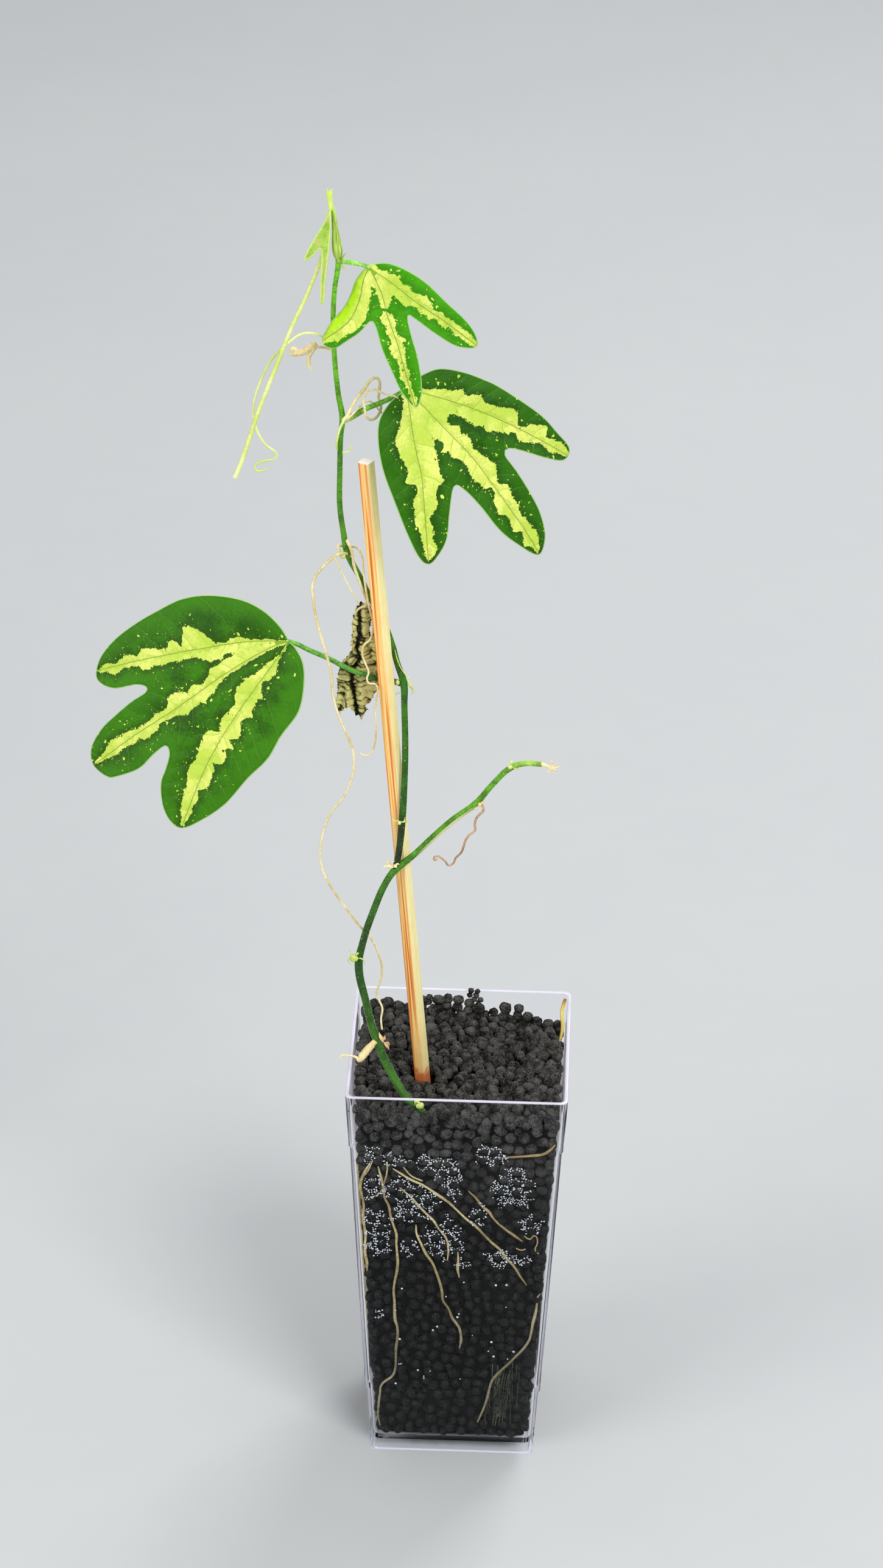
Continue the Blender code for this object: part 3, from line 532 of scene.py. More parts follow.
# %% The middle leaf's outline, veins and bands
LEAF_MIDDLE = {
    "base": (-16.3, -8.5, 318.2), "azimuth": 12.0, "elevation": 22.0, "droop": 6.0,
    "folded_lobe": None, "step": 0.85, "rim_step": 0.8,
    "outline": [
        (0, 0), (1.5, 2), (4.5, 3.8), (9, 5), (15, 3.8), (20.5, 1.5), (25, -1), (34.5, -8), (39, -13),
        (42.3, -17.5), (40.5, -20.5), (35.5, -19.5), (30, -17.5), (26, -16.5), (25, -18), (28, -22.5),
        (31.5, -28.5), (34, -34), (35, -40), (33, -44.5), (27, -41), (22.5, -37), (18, -31), (14, -26.5),
        (11.3, -25.3), (10, -31.5), (9, -38.5), (6.5, -43), (4, -45), (1.5, -43), (-1.5, -36.5),
        (-4.5, -28), (-7, -20), (-8, -13), (-7.5, -7.5), (-5, -3.5), (-2, -1)],
    "veins": [
        [(0, 0), (0.5, -4), (1.5, -13.5), (3, -22.5), (3.5, -32.5), (4, -44)],
        [(0, 0), (3.5, -3.5), (10.5, -11.5), (17, -19), (24.5, -30), (29.5, -37.5), (33, -43.5)],
        [(0, 0), (4.5, -1), (15.5, -5), (25, -9.5), (34, -14.5), (41.8, -19.3)]],
    "bands": [
        ([(0, 1.5), (0.07, 3.5), (0.2, 4.5), (0.28, 4.8), (0.37, 5.0), (0.45, 4.8), (0.5, 4.6),
          (0.55, 5.6), (0.585, 3.3), (0.65, 3.5), (0.71, 2.9), (0.75, 1.2), (0.8, 1.9), (0.9, 1.9),
          (0.94, 2.7), (1, 0.5)],
         [(0, 1.0), (0.07, 1.35), (0.14, 2.1), (0.195, 3.1), (0.28, 5.0), (0.37, 4.4), (0.43, 3.2),
          (0.5, 3.8), (0.535, 4.8), (0.55, 1.8), (0.6, 1.4), (0.635, 2.9), (0.7, 2.7), (0.79, 2.9),
          (0.8, 2.1), (0.88, 1.35), (0.94, 0.9), (1, 0.3)]),
        ([(0, 1.5), (0.1, 3.5), (0.18, 3.5), (0.22, 3.2), (0.24, 1.5), (0.27, 1.8), (0.29, 3.0),
          (0.33, 2.1), (0.37, 3.1), (0.41, 2.0), (0.44, 2.0), (0.5, 3.0), (0.54, 3.9), (0.56, 3.0),
          (0.6, 1.9), (0.625, 1.5), (0.65, 3.3), (0.7, 2.4), (0.76, 2.3), (0.79, 1.6), (0.83, 1.8),
          (0.88, 2.0), (0.92, 2.2), (0.97, 1.3), (1, 0.5)],
         [(0, 1.5), (0.1, 3.0), (0.2, 3.6), (0.27, 3.7), (0.29, 2.6), (0.31, 3.0), (0.325, 5.0),
          (0.345, 3.2), (0.385, 3.7), (0.42, 2.5), (0.47, 2.6), (0.5, 3.0), (0.54, 3.4), (0.58, 2.4),
          (0.6, 2.9), (0.615, 0.5), (0.65, 0.9), (0.68, 2.6), (0.745, 3.2), (0.77, 1.5), (0.82, 2.2),
          (0.86, 2.9), (0.87, 0.7), (0.9, 1.4), (0.945, 2.6), (0.955, 1.0), (1, 0.4)]),
        ([(0, 0.8), (0.1, 1.0), (0.14, 1.6), (0.2, 2.3), (0.24, 2.6), (0.29, 3.6), (0.31, 3.4),
          (0.32, 2.5), (0.36, 3.2), (0.41, 4.0), (0.44, 2.5), (0.51, 2.8), (0.56, 3.2), (0.6, 4.0),
          (0.63, 3.8), (0.645, 2.0), (0.66, 0.6), (0.7, 1.2), (0.73, 2.4), (0.78, 3.6), (0.82, 3.8),
          (0.83, 1.0), (0.87, 1.6), (0.93, 2.2), (0.97, 1.6), (1, 0.7)],
         [(0, 1.5), (0.1, 3.5), (0.2, 4.0), (0.25, 3.6), (0.3, 2.9), (0.34, 3.0), (0.38, 3.5),
          (0.43, 4.0), (0.48, 3.2), (0.52, 4.6), (0.54, 3.2), (0.58, 3.0), (0.64, 2.3), (0.655, 1.3),
          (0.7, 2.8), (0.75, 2.2), (0.8, 1.5), (0.82, 0.7), (0.87, 1.2), (0.905, 1.7), (0.94, 0.6),
          (1, 0.3)])],
}
print("middle leaf:", len(LEAF_MIDDLE["outline"]), "points on the margin")

# %% The left leaf's outline, veins and bands
LEAF_LEFT = {
    "base": (-46.0, -8.4, 245.8), "azimuth": -14.0, "elevation": 26.0, "droop": 7.0,
    "folded_lobe": None, "step": 0.85, "rim_step": 0.8,
    "outline": [
        (0, 0), (-3, 3.5), (-8, 7), (-14.5, 9), (-23.5, 9), (-31, 7), (-37.5, 3), (-43, -1), (-48.5, -6),
        (-52, -11), (-53, -15.5), (-51.5, -18), (-47, -19), (-41, -17.2), (-38, -17.3), (-38, -18.7),
        (-41.5, -21.5), (-45.5, -25.5), (-49.5, -30), (-52, -35.5), (-51, -40), (-46.5, -42.5),
        (-43.5, -42), (-37.5, -39), (-33.5, -34.5), (-30.5, -32), (-29.3, -34), (-30, -38), (-31, -42),
        (-30, -47.5), (-27.5, -51.5), (-24, -53), (-18.5, -50), (-12.5, -45), (-7, -37.5), (-2, -31.5),
        (1, -25), (5, -18), (5.5, -10.5), (4.5, -5), (2, -1.5)],
    "veins": [
        [(0, 0), (-1.5, -3), (-6, -10.5), (-12.5, -22), (-16, -29), (-19.5, -37.5), (-24, -52)],
        [(0, 0), (-6, -3), (-16, -10.5), (-28, -21), (-40.5, -31), (-48, -37.5), (-50.5, -39.5)],
        [(0, 0), (-10.5, -1.5), (-21.5, -4.5), (-34.5, -8.5), (-47.5, -13), (-52.5, -15)]],
    "bands": [
        ([(0, 0.1), (0.08, 0.2), (0.12, 1.2), (0.16, 2.2), (0.2, 1.8), (0.22, 0.9), (0.26, 1.4),
          (0.285, 4.0), (0.3, 2.3), (0.36, 2.9), (0.385, 4.4), (0.4, 2.6), (0.44, 2.2), (0.47, 3.8),
          (0.51, 4.2), (0.535, 1.9), (0.56, 4.8), (0.58, 2.4), (0.61, 3.8), (0.66, 3.6), (0.675, 0.6),
          (0.69, 2.6), (0.76, 2.8), (0.8, 2.7), (0.82, 0.4), (0.86, 1.8), (0.89, 0.9), (0.93, 1.3),
          (1, 0.4)],
         [(0, 0.1), (0.08, 0.2), (0.15, 1.4), (0.2, 1.8), (0.26, 3.6), (0.33, 3.9), (0.385, 2.0),
          (0.43, 1.9), (0.46, 2.7), (0.51, 2.1), (0.535, 0.9), (0.55, 4.3), (0.6, 4.4), (0.66, 3.6),
          (0.7, 3.4), (0.74, 4.1), (0.8, 3.0), (0.86, 2.7), (0.92, 2.2), (0.97, 1.2), (1, 0.5)]),
        ([(0, 0.3), (0.1, 0.5), (0.2, 0.6), (0.3, 0.8), (0.35, 1.2), (0.385, 2.4), (0.43, 2.9),
          (0.445, 3.8), (0.46, 2.3), (0.5, 2.6), (0.54, 2.9), (0.57, 1.9), (0.62, 1.2), (0.66, 1.0),
          (0.67, 1.9), (0.73, 2.5), (0.755, 2.6), (0.77, 1.2), (0.8, 1.8), (0.87, 1.2), (0.91, 1.6),
          (0.93, 0.8), (1, 0.2)],
         [(0, 0.3), (0.05, 0.5), (0.1, 1.2), (0.16, 3.0), (0.28, 3.2), (0.355, 3.4), (0.37, 1.8),
          (0.42, 1.3), (0.45, 2.8), (0.48, 1.6), (0.53, 3.4), (0.575, 3.5), (0.59, 1.8), (0.64, 1.2),
          (0.66, 1.8), (0.69, 0.9), (0.73, 1.3), (0.76, 0.9), (0.79, 1.8), (0.84, 2.1), (0.9, 2.4),
          (0.93, 1.4), (0.96, 1.0), (1, 0.3)]),
        ([(0, 0.4), (0.08, 0.6), (0.155, 0.9), (0.165, 2.3), (0.24, 3.0), (0.32, 2.3), (0.36, 3.6),
          (0.41, 4.0), (0.43, 3.2), (0.485, 2.0), (0.57, 2.2), (0.63, 2.0), (0.65, 2.7), (0.69, 2.0),
          (0.73, 2.9), (0.77, 2.5), (0.78, 1.4), (0.86, 0.9), (0.92, 2.6), (0.94, 1.2), (1, 0.5)],
         [(0, 0.2), (0.2, 0.3), (0.24, 1.5), (0.3, 1.4), (0.31, 0.3), (0.36, 0.3), (0.4, 2.6),
          (0.44, 4.6), (0.49, 6.5), (0.525, 6.3), (0.53, 3.6), (0.545, 1.2), (0.57, 3.2), (0.605, 3.5),
          (0.61, 1.9), (0.67, 1.8), (0.71, 2.6), (0.755, 2.8), (0.78, 1.0), (0.815, 2.2), (0.85, 1.9),
          (0.9, 0.5), (0.94, 1.1), (1, 0.3)])],
}
print("left leaf:", len(LEAF_LEFT["outline"]), "points on the margin")

# %% [markdown]
# ### The blade's mesh
# A blade is cut from a flat sheet of points: its smoothed margin, its veins, and rows of points
# between them. Triangles follow the veins, so the blade can crease there. Each point then gets its
# measures and its height, and the sheet is placed at the leaf's own turn and tilt.

# %% Distances on a blade


def blade_axes(azimuth, elevation):
    """The blade's own right, up and outward directions."""
    a = math.radians(azimuth)
    e = math.radians(elevation)
    right = Vector((math.cos(a), math.sin(a), 0.0))
    outward = Vector((math.sin(a) * math.cos(e), -math.cos(a) * math.cos(e), math.sin(e)))
    return right, outward.cross(right), outward


def along_line(points, line):
    """For each point: distance to a line, side of it, length passed; and the whole length."""
    nearest = np.full(len(points), 1e9)
    side = np.zeros(len(points))
    passed = np.zeros(len(points))
    total = 0.0
    for start, end in zip(line, line[1:]):
        step = end - start
        length = float(np.hypot(*step))
        share = np.clip(((points - start) @ step) / length ** 2, 0, 1)
        gap = points - (start + share[:, None] * step)
        distance = np.hypot(gap[:, 0], gap[:, 1])
        nearer = distance < nearest
        nearest[nearer] = distance[nearer]
        side[nearer] = (step[0] * gap[:, 1] - step[1] * gap[:, 0])[nearer]
        passed[nearer] = total + share[nearer] * length
        total += length
    return nearest, side, passed, total


def to_margin(points, outline):
    """Distance of each point from the closed outline."""
    return along_line(points, np.vstack([outline, outline[:1]]))[0]


def inside(points, outline):
    """True for each point inside the closed outline."""
    crossed = np.zeros(len(points), bool)
    for start, end in zip(outline, np.roll(outline, -1, axis=0)):
        spans = (start[1] > points[:, 1]) != (end[1] > points[:, 1])
        if spans.any():
            reach = start[0] + (points[:, 1] - start[1]) / (end[1] - start[1]) * (end[0] - start[0])
            crossed ^= spans & (points[:, 0] < reach)
    return crossed


print("distance helpers ready")

# %% Points of a blade
VEIN_STEP = 0.8
ROW_STEP = 0.87


def rows_inside(outline, step, clearance, stagger=0.0):
    """Rows of points inside an outline and off its edge; every other row may be staggered."""
    low, high = outline.min(0), outline.max(0)
    rows = []
    for row, y in enumerate(np.arange(low[1], high[1], step * ROW_STEP)):
        xs = np.arange(low[0] + (stagger * step if row % 2 else 0.0), high[0], step)
        rows.append(np.column_stack([xs, np.full(len(xs), y)]))
    points = np.vstack(rows)
    points = points[inside(points, outline)]
    return points[to_margin(points, outline) > step * clearance]


def vein_points(leaf, outline):
    """Points along the veins, with the edges between them, so that the blade creases there."""
    points, edges = [], []
    for vein in leaf["veins"]:
        line = smooth_line(vein, VEIN_STEP)
        line = line[inside(line, outline)]
        line = line[to_margin(line, outline) > leaf["step"] * 0.3]
        first = len(outline) + len(points)
        edges += [(first + i, first + i + 1) for i in range(len(line) - 1)]
        points += list(line)
    return np.array(points), edges


def triangles(outline, inner, edges=()):
    """Points and faces of the sheet inside an outline."""
    flat = [Vector(p) for p in np.vstack([outline, inner])]
    made = geometry.delaunay_2d_cdt(flat, list(edges), [list(range(len(outline)))], 1, 1e-5)
    return np.array([tuple(p) for p in made[0]]), [tuple(f) for f in made[2]]


def blade_sheet(leaf):
    """The margin, with the points and faces of a flat blade."""
    outline = smooth_line(leaf["outline"], leaf["rim_step"], closed=True)
    inner = rows_inside(outline, leaf["step"], 0.55, stagger=0.5)
    for vein in leaf["veins"]:
        inner = inner[along_line(inner, smooth_line(vein, VEIN_STEP))[0] > leaf["step"] * 0.5]
    veins, edges = vein_points(leaf, outline)
    return outline, *triangles(outline, np.vstack([veins, inner]), edges)


print("point helpers ready")

# %% Measures and heights of a blade
BLADE_THICKNESS = 0.3
VEIN_DEPTH = 0.7
VEIN_REACH = 4.0
FOLD_SLOPE = 1.5
SIDE_VEIN_SPACING = 4.4
SIDE_VEIN_LEAN = 0.55
SIDE_VEIN_CURVE = 0.012
QUILT_HEIGHT = 0.16
RIPPLE_HEIGHT = 0.25
RIPPLE_LENGTH = 9.0


def blade_measures(points, leaf, outline):
    """What the material needs to know at each point of a blade, in millimetres."""
    sides, lateral, bands, distances = [], [], [], []
    for k, (vein, stations) in enumerate(zip(leaf["veins"], leaf["bands"])):
        distance, side, passed, total = along_line(points, smooth_line(vein, VEIN_STEP))
        widths = [np.interp(passed / total, *zip(*one_side)) for one_side in stations]
        bands.append(np.where(side > 0, widths[0], widths[1]) - distance)
        lean = SIDE_VEIN_LEAN * distance + SIDE_VEIN_CURVE * distance ** 2
        index = 40 * k + np.where(side > 0, 10, 30)
        lateral.append((passed - lean) / SIDE_VEIN_SPACING + index)
        distances.append(distance)
        sides.append(side)
    nearest = np.array(distances).argmin(0)
    ordered = np.sort(distances, axis=0)
    folded = np.zeros(len(points))
    lobe = leaf["folded_lobe"]
    if lobe is not None:
        folded = ((sides[lobe] < 0) & (nearest == lobe)).astype(float)
        folded *= np.clip(distances[lobe] / 0.8, 0, 1)
    return {
        "band": np.max(bands, axis=0),
        "rib": ordered[0],
        "lateral": np.array(lateral)[nearest, np.arange(len(points))],
        "calm": np.clip((ordered[1] - ordered[0]) / 2.0, 0, 1),
        "margin": to_margin(points, outline),
        "folded": folded,
    }


def blade_height(points, leaf, measures):
    """Height above the blade's plane: sunken veins, drooping tips, quilting and a folded lobe."""
    size = max(math.hypot(*p) for p in leaf["outline"])
    height = VEIN_DEPTH * (1 - np.exp(-measures["rib"] / VEIN_REACH))
    height -= leaf["droop"] * (np.hypot(points[:, 0], points[:, 1]) / size) ** 2
    between = np.sin(np.pi * (measures["lateral"] % 1.0)) ** 2
    edge_calm = np.clip(measures["margin"] / 3.0, 0, 1)
    height += QUILT_HEIGHT * (between - 0.5) * measures["calm"] * edge_calm
    ripple = np.sin(points[:, 0] / RIPPLE_LENGTH * 2.1) * np.cos(points[:, 1] / RIPPLE_LENGTH * 2.6)
    height += RIPPLE_HEIGHT * ripple * np.exp(-measures["margin"] / 5.0)
    if leaf["folded_lobe"] is not None:
        vein = np.array(leaf["veins"][leaf["folded_lobe"]], float)
        distance, side = along_line(points, vein)[:2]
        height -= np.where(side < 0, FOLD_SLOPE * distance, 0.0)
    return height


def leaf_blade(name, leaf, front, back):
    """A dense blade with its measures as attributes, given thickness and a paler back."""
    outline, points, faces = blade_sheet(leaf)
    measures = blade_measures(points, leaf, outline)
    heights = blade_height(points, leaf, measures)
    right, up, outward = blade_axes(leaf["azimuth"], leaf["elevation"])
    base = at(leaf["base"])
    places = [base + (right * p[0] + up * p[1] + outward * h) * MM
              for p, h in zip(points, heights.tolist())]
    blade = mesh_piece(name, places, faces)
    for key, values in measures.items():
        keep_measure(blade, key, values)
    blade.data.materials.append(front)
    blade.data.materials.append(back)
    blade.data.shade_smooth()
    apply_modifier(blade, "SOLIDIFY", thickness=BLADE_THICKNESS * MM, offset=0.0,
                   material_offset=1, material_offset_rim=0)
    return blade


print("leaf helpers ready")

# %% [markdown]
# ### Leaf finish
# The front reads the blade's measures. Noise is added to the measured band before it is cut into
# a mask, which makes the ragged edge. Side veins come from the repeated coordinate between them,
# and a thin pale line follows the margin. The underside is paler and duller.

# %% Side veins and the ragged band


def measure(place, name):
    """A blade measure as a value, in the same graph as a place."""
    return add_node(place.id_data, "Attribute", attribute_name=name).outputs["Fac"]


def random_for(rounding, value):
    """A random value for each whole number that the value is rounded to."""
    return node_on("TexWhiteNoise", {"W": maths(rounding, value)},
                    noise_dimensions="1D").outputs["Value"]


def side_vein_lines(place):
    """Nearness to a side vein, the lines' mask, and a random value for each field between."""
    wobble = minus(noise_value(place, 0.35, 2.0), 0.5)
    lateral = plus(measure(place, "lateral"), times(wobble, 0.45))
    phase = maths("FRACT", lateral)
    nearer = maths("MINIMUM", phase, minus(1.0, phase))
    line = times(remap(nearer, 0.012, 0.04, 1.0, 0.0), measure(place, "calm"))
    strength = remap(random_for("ROUND", lateral), 0.2, 0.8, 0.25, 1.0)
    return nearer, times(line, strength), random_for("FLOOR", lateral)


def band_mask(place, band, ragged):
    """Where the leaf is pale: the band less its holes, and the islands and specks beside it."""
    ragged_place = wavering(place, 1.1, 1.5)
    island_share = remap(band, -5.5, -0.2, 0.03, 0.6)
    islands = flecks(ragged_place, 0.6, 0.17, island_share)
    specks = flecks(ragged_place, 1.35, 0.17, times(island_share, 0.7))
    holes = flecks(ragged_place, 0.95, 0.2, remap(band, 2.2, 0.1, 0.0, 0.16))
    mask = larger(remap(ragged, -0.06, 0.06), larger(islands, specks))
    return times(mask, minus(1.0, holes))


print("vein and band masks ready")

# %% Colours of the upper side


def blade_green(place, tone, ragged, side_lines, greens):
    """Green that lightens to the margin and deepens beside the band, with pale dust."""
    dark, light, deep = greens
    green = blend_colour(remap(tone, 0.35, 0.65), dark, light)
    near_margin = remap(measure(place, "margin"), 0.0, 7.0, 0.75, 0.0)
    green = blend_colour(near_margin, green, light)
    green = blend_colour(remap(ragged, -2.5, 0.0, 0.0, 0.7), green, deep)
    green = blend_colour(times(side_lines, 0.2), green, (120, 170, 80))
    dust = flecks(place, 1.3, 0.085, 0.22)
    return blend_colour(times(dust, 0.6), green, (150, 205, 110))


def band_yellow(place, tone, field, side_lines, threads):
    """Yellow-green with darker veins and threads, and the brighter folded lobe."""
    light = remap(plus(tone, times(field, 0.16)), 0.45, 0.75)
    yellow = blend_colour(light, (190, 216, 78), (230, 236, 120))
    yellow = blend_colour(times(side_lines, 0.7), yellow, (142, 186, 52))
    thread_mask = remap(threads, 0.008, 0.035, 0.3, 0.0)
    yellow = blend_colour(thread_mask, yellow, (160, 205, 75))
    bright_fold = blend_colour(tone, (164, 222, 12), (190, 234, 40))
    return blend_colour(measure(place, "folded"), yellow, bright_fold)


def blade_relief(place, nearer, threads):
    """Height of the skin: quilted between side veins, grained, and netted with fine threads."""
    quilt = times(remap(nearer, 0.0, 0.16), measure(place, "calm"))
    grain = times(noise_value(place, 3.5, 3.0), 0.55)
    net = times(remap(threads, 0.0, 0.12), 0.3)
    return plus(plus(times(quilt, 0.6), grain), net)


print("colours of the upper side ready")

# %% Leaf materials


def leaf_front_material(name, greens):
    """The marked upper side of a leaf, from its dark, its light and its deepest green."""
    material, shader, place = new_material(name, roughness=0.5, Specular_IOR_Level=0.12)
    band = measure(place, "band")
    nearer, side_lines, field = side_vein_lines(place)
    rough_edge = minus(noise_value(place, 0.75, 2.0), 0.5)
    fine_edge = minus(noise_value(place, 2.6, 3.0), 0.5)
    ragged = plus(band, times(rough_edge, 1.5))
    ragged = plus(ragged, times(fine_edge, 1.3))
    tone = mottle(place, 0.13, 1.6, 0.3)
    threads = node_on("TexVoronoi", {"Vector": place, "Scale": 0.55},
                       feature="DISTANCE_TO_EDGE").outputs["Distance"]
    mask = larger(band_mask(place, band, ragged), measure(place, "folded"))
    green = blade_green(place, tone, ragged, side_lines, greens)
    colour = blend_colour(mask, green, band_yellow(place, tone, field, side_lines, threads))
    line_width = plus(measure(place, "rib"), times(fine_edge, 0.12))
    main_line = remap(line_width, 0.06, 0.17, 0.8, 0.0)
    colour = blend_colour(main_line, colour, (112, 158, 36))
    rim = remap(measure(place, "margin"), 0.12, 0.3, 0.8, 0.0)
    paint(shader, blend_colour(rim, colour, (186, 226, 150)))
    feed(shader.inputs["Roughness"], remap(tone, 0.3, 0.7, 0.36, 0.52))
    bump_onto(shader, blade_relief(place, nearer, threads), 0.12, 0.55)
    return material


def leaf_back_material(name, pale, dull):
    """The plain underside of a leaf."""
    material, shader, place = new_material(name, roughness=0.62, Specular_IOR_Level=0.3)
    side_lines = side_vein_lines(place)[1]
    tone = mottle(place, 0.15, 1.8, 0.35)
    colour = blend_colour(remap(tone, 0.3, 0.7), dull, pale)
    glow = remap(measure(place, "band"), -0.6, 0.6, 0.0, 0.45)
    colour = blend_colour(glow, colour, (170, 205, 110))
    paint(shader, blend_colour(times(side_lines, 0.5), colour, (160, 190, 120)))
    grain = times(noise_value(place, 3.0, 3.0), 0.5)
    bump_onto(shader, plus(side_lines, grain), 0.12, 0.5)
    return material


print("leaf materials ready")

# %% The large leaves
LEAF_GREENS = {
    "leaf_upper": ((44, 134, 6), (70, 160, 12), (50, 126, 12)),
    "leaf_middle": ((26, 74, 2), (50, 112, 8), (34, 76, 10)),
    "leaf_left": ((34, 80, 2), (60, 126, 8), (42, 78, 10)),
}
LARGE_LEAVES = {"leaf_upper": LEAF_UPPER, "leaf_middle": LEAF_MIDDLE, "leaf_left": LEAF_LEFT}
leaf_back = leaf_back_material("leaf_underside", (120, 165, 84), (88, 138, 62))
for name, leaf in LARGE_LEAVES.items():
    front = leaf_front_material(name + "_front", LEAF_GREENS[name])
    blade = leaf_blade(name + "_blade", leaf, front, leaf_back)
    keep_piece(blade, None, "leaf_green", name)
    print(blade.name, len(blade.data.polygons), "faces")

# %% [markdown]
# ## Stem and climbing shoot
# The cutting rooted, bent right behind the stake's foot, and sent up a new shoot from the fork.
# The shoot is nearly black-green at its foot and grows brighter towards the light, so colours are
# set by height. Tiny pale hairs make the edges of every stem look soft. From a distance a painted
# sheen imitates the light they catch: the colour is lightened where the stem is seen edge-on.
# Close by, real little spikes imitate the hairs.

# %% Stem routes
OLD_STEM_ROUTE = [
    (-5.0, -16.0, 92.0), (-6.5, -20.0, 100.0), (-8.2, -23.0, 107.5), (-9.7, -23.5, 112.3),
    (-12.5, -22.8, 114.6), (-16.4, -20.8, 119.5), (-21.7, -18.0, 129.9), (-25.2, -16.0, 142.1),
    (-27.2, -14.6, 152.5), (-26.3, -14.0, 158.3), (-23.6, -13.0, 167.6), (-19.5, -12.0, 177.8),
    (-17.5, -11.9, 180.6), (-12.9, -11.7, 184.9), (-7.6, -11.9, 190.9), (-2.8, -12.5, 196.2),
    (3.4, -13.5, 202.0), (7.8, -15.0, 208.6), (12.7, -17.0, 214.9), (15.9, -18.3, 216.8),
    (20.7, -20.0, 217.7),
]
SHOOT_ROUTE = [
    (-17.6, -11.9, 180.8), (-16.8, -12.0, 186.0), (-16.1, -11.9, 194.5), (-15.6, -10.6, 205.7),
    (-15.5, -9.2, 215.1), (-15.9, -7.7, 227.6), (-16.2, -6.4, 233.5), (-17.9, -5.9, 238.8),
    (-19.4, -5.3, 244.3), (-22.2, -4.8, 251.6), (-25.4, -4.9, 257.8), (-27.4, -5.2, 262.4),
    (-31.1, -6.0, 270.6), (-32.2, -6.6, 277.0), (-33.1, -7.2, 284.7), (-33.1, -8.0, 294.0),
    (-32.8, -9.2, 305.7), (-32.4, -9.6, 310.3), (-33.4, -10.2, 317.2), (-34.4, -11.2, 328.5),
    (-34.7, -12.0, 339.0), (-34.3, -12.6, 347.3), (-33.4, -13.0, 354.9), (-33.8, -13.4, 360.8),
    (-34.5, -14.0, 367.5), (-35.2, -14.4, 370.5),
]
print(len(OLD_STEM_ROUTE) + len(SHOOT_ROUTE), "route points")

# %% Stems


def stem_material(name, low, high, steps, sheen=0.35):
    """Living stem: colours by height in millimetres, mottled, with a painted sheen at grazing angles."""
    material, shader, place = new_material(name, roughness=0.55, Specular_IOR_Level=0.35)
    colour = colour_by_height(place, low, high, steps)
    tone = mottle(place, 0.3, 1.8, 0.45)
    brightness = remap(tone, 0.38, 0.62, 0.62, 1.45)
    colour = node_on("HueSaturation", {"Color": colour, "Value": brightness}).outputs["Color"]
    specks = flecks(wavering(place, 1.4, 0.8), 1.1, 0.14, 0.4)
    colour = blend_colour(times(specks, 0.55), colour, (186, 214, 140))
    # Painted sheen: the colour turns pale green where the surface is seen edge-on, standing in for light
    # caught by the fine hairs.
    facing = add_node(place.id_data, "LayerWeight").outputs["Facing"]
    painted_sheen_share = remap(facing, 0.5, 1.0, 0.0, sheen)
    paint(shader, blend_colour(painted_sheen_share, colour, (190, 220, 150)))
    bump_onto(shader, noise_value(place, 2.5, 3.0), 0.15, 0.6)
    return material


stem_green = stem_material("stem_skin", 100, 375, [
    (100, (60, 100, 22)), (122, (48, 100, 14)), (150, (28, 68, 10)), (172, (40, 90, 12)),
    (184, (66, 126, 16)), (212, (96, 166, 26)), (218, (150, 190, 70)), (375, (150, 200, 80))])
shoot_green = stem_material("shoot_skin", 180, 375, [
    (180, (26, 44, 8)), (193, (26, 54, 8)), (199, (40, 92, 10)), (238, (44, 100, 12)),
    (262, (74, 130, 18)), (300, (66, 130, 14)), (315, (88, 156, 20)), (352, (102, 180, 24)),
    (362, (146, 206, 52)), (375, (190, 226, 84))])
old_stem_radii = taper(OLD_STEM_ROUTE, 1.22, 0.7,
                       [(6, 1.06), (8, 1.12), (12, 1.15), (16, 1.1), (18, 1.1)])
old_stem = grown_tube("old_stem_grown", OLD_STEM_ROUTE, old_stem_radii, 3, 8)
keep_piece(old_stem, stem_green, "stem_green", "old_stem")
shoot_radii = taper(SHOOT_ROUTE, 0.92, 0.6,
                    [(2, 1.12), (6, 1.18), (12, 1.2), (17, 1.15), (22, 1.15)])
shoot = grown_tube("climbing_shoot_grown", SHOOT_ROUTE, shoot_radii, 3, 8)
keep_piece(shoot, shoot_green, "stem_green", "climbing_shoot")
print(len(old_stem.data.polygons) + len(shoot.data.polygons), "faces on the two stems")

# %% [markdown]
# ### The peeled streak
# Between two nodes of the old stem the skin has dried and lifted along the lower side. A few thin
# pale strips, laid along the stem just outside its skin, give that streak.

# %% Peeled streak
STREAK_STRIPS = [
    ((0.35, -0.55, -0.62), 0.17), ((0.5, -0.25, -0.82), 0.14), ((0.1, -0.75, -0.35), 0.12)]
streaks = []
for shift, size in STREAK_STRIPS:
    strip = [tuple(c + s for c, s in zip(point, shift)) for point in OLD_STEM_ROUTE[13:17]]
    radii = taper(strip, 0.04, 0.06, [(1, size / 0.05), (2, size / 0.05)])
    streaks.append(grown_tube("streak", strip, radii, 1, 6))
peeled_streak = joined("peeled_streak", streaks)
dry_skin = mottled_material("dry_skin", (214, 200, 140), (248, 244, 214), (0.5, 3.0, 0.5), 0.6)
keep_piece(peeled_streak, dry_skin, "stem_green")
print(peeled_streak.name, len(peeled_streak.data.polygons), "faces")

# %% [markdown]
# ### Down on the stems
# Short pale hairs stand out all round the young stems. Each is a three-sided spike, and there are
# some thousands, so they are written straight into one mesh.

# %% Stem hairs
HAIR_LENGTH = 0.34
HAIR_WIDTH = 0.035
HAIR_ROOT_DEPTH = 0.05


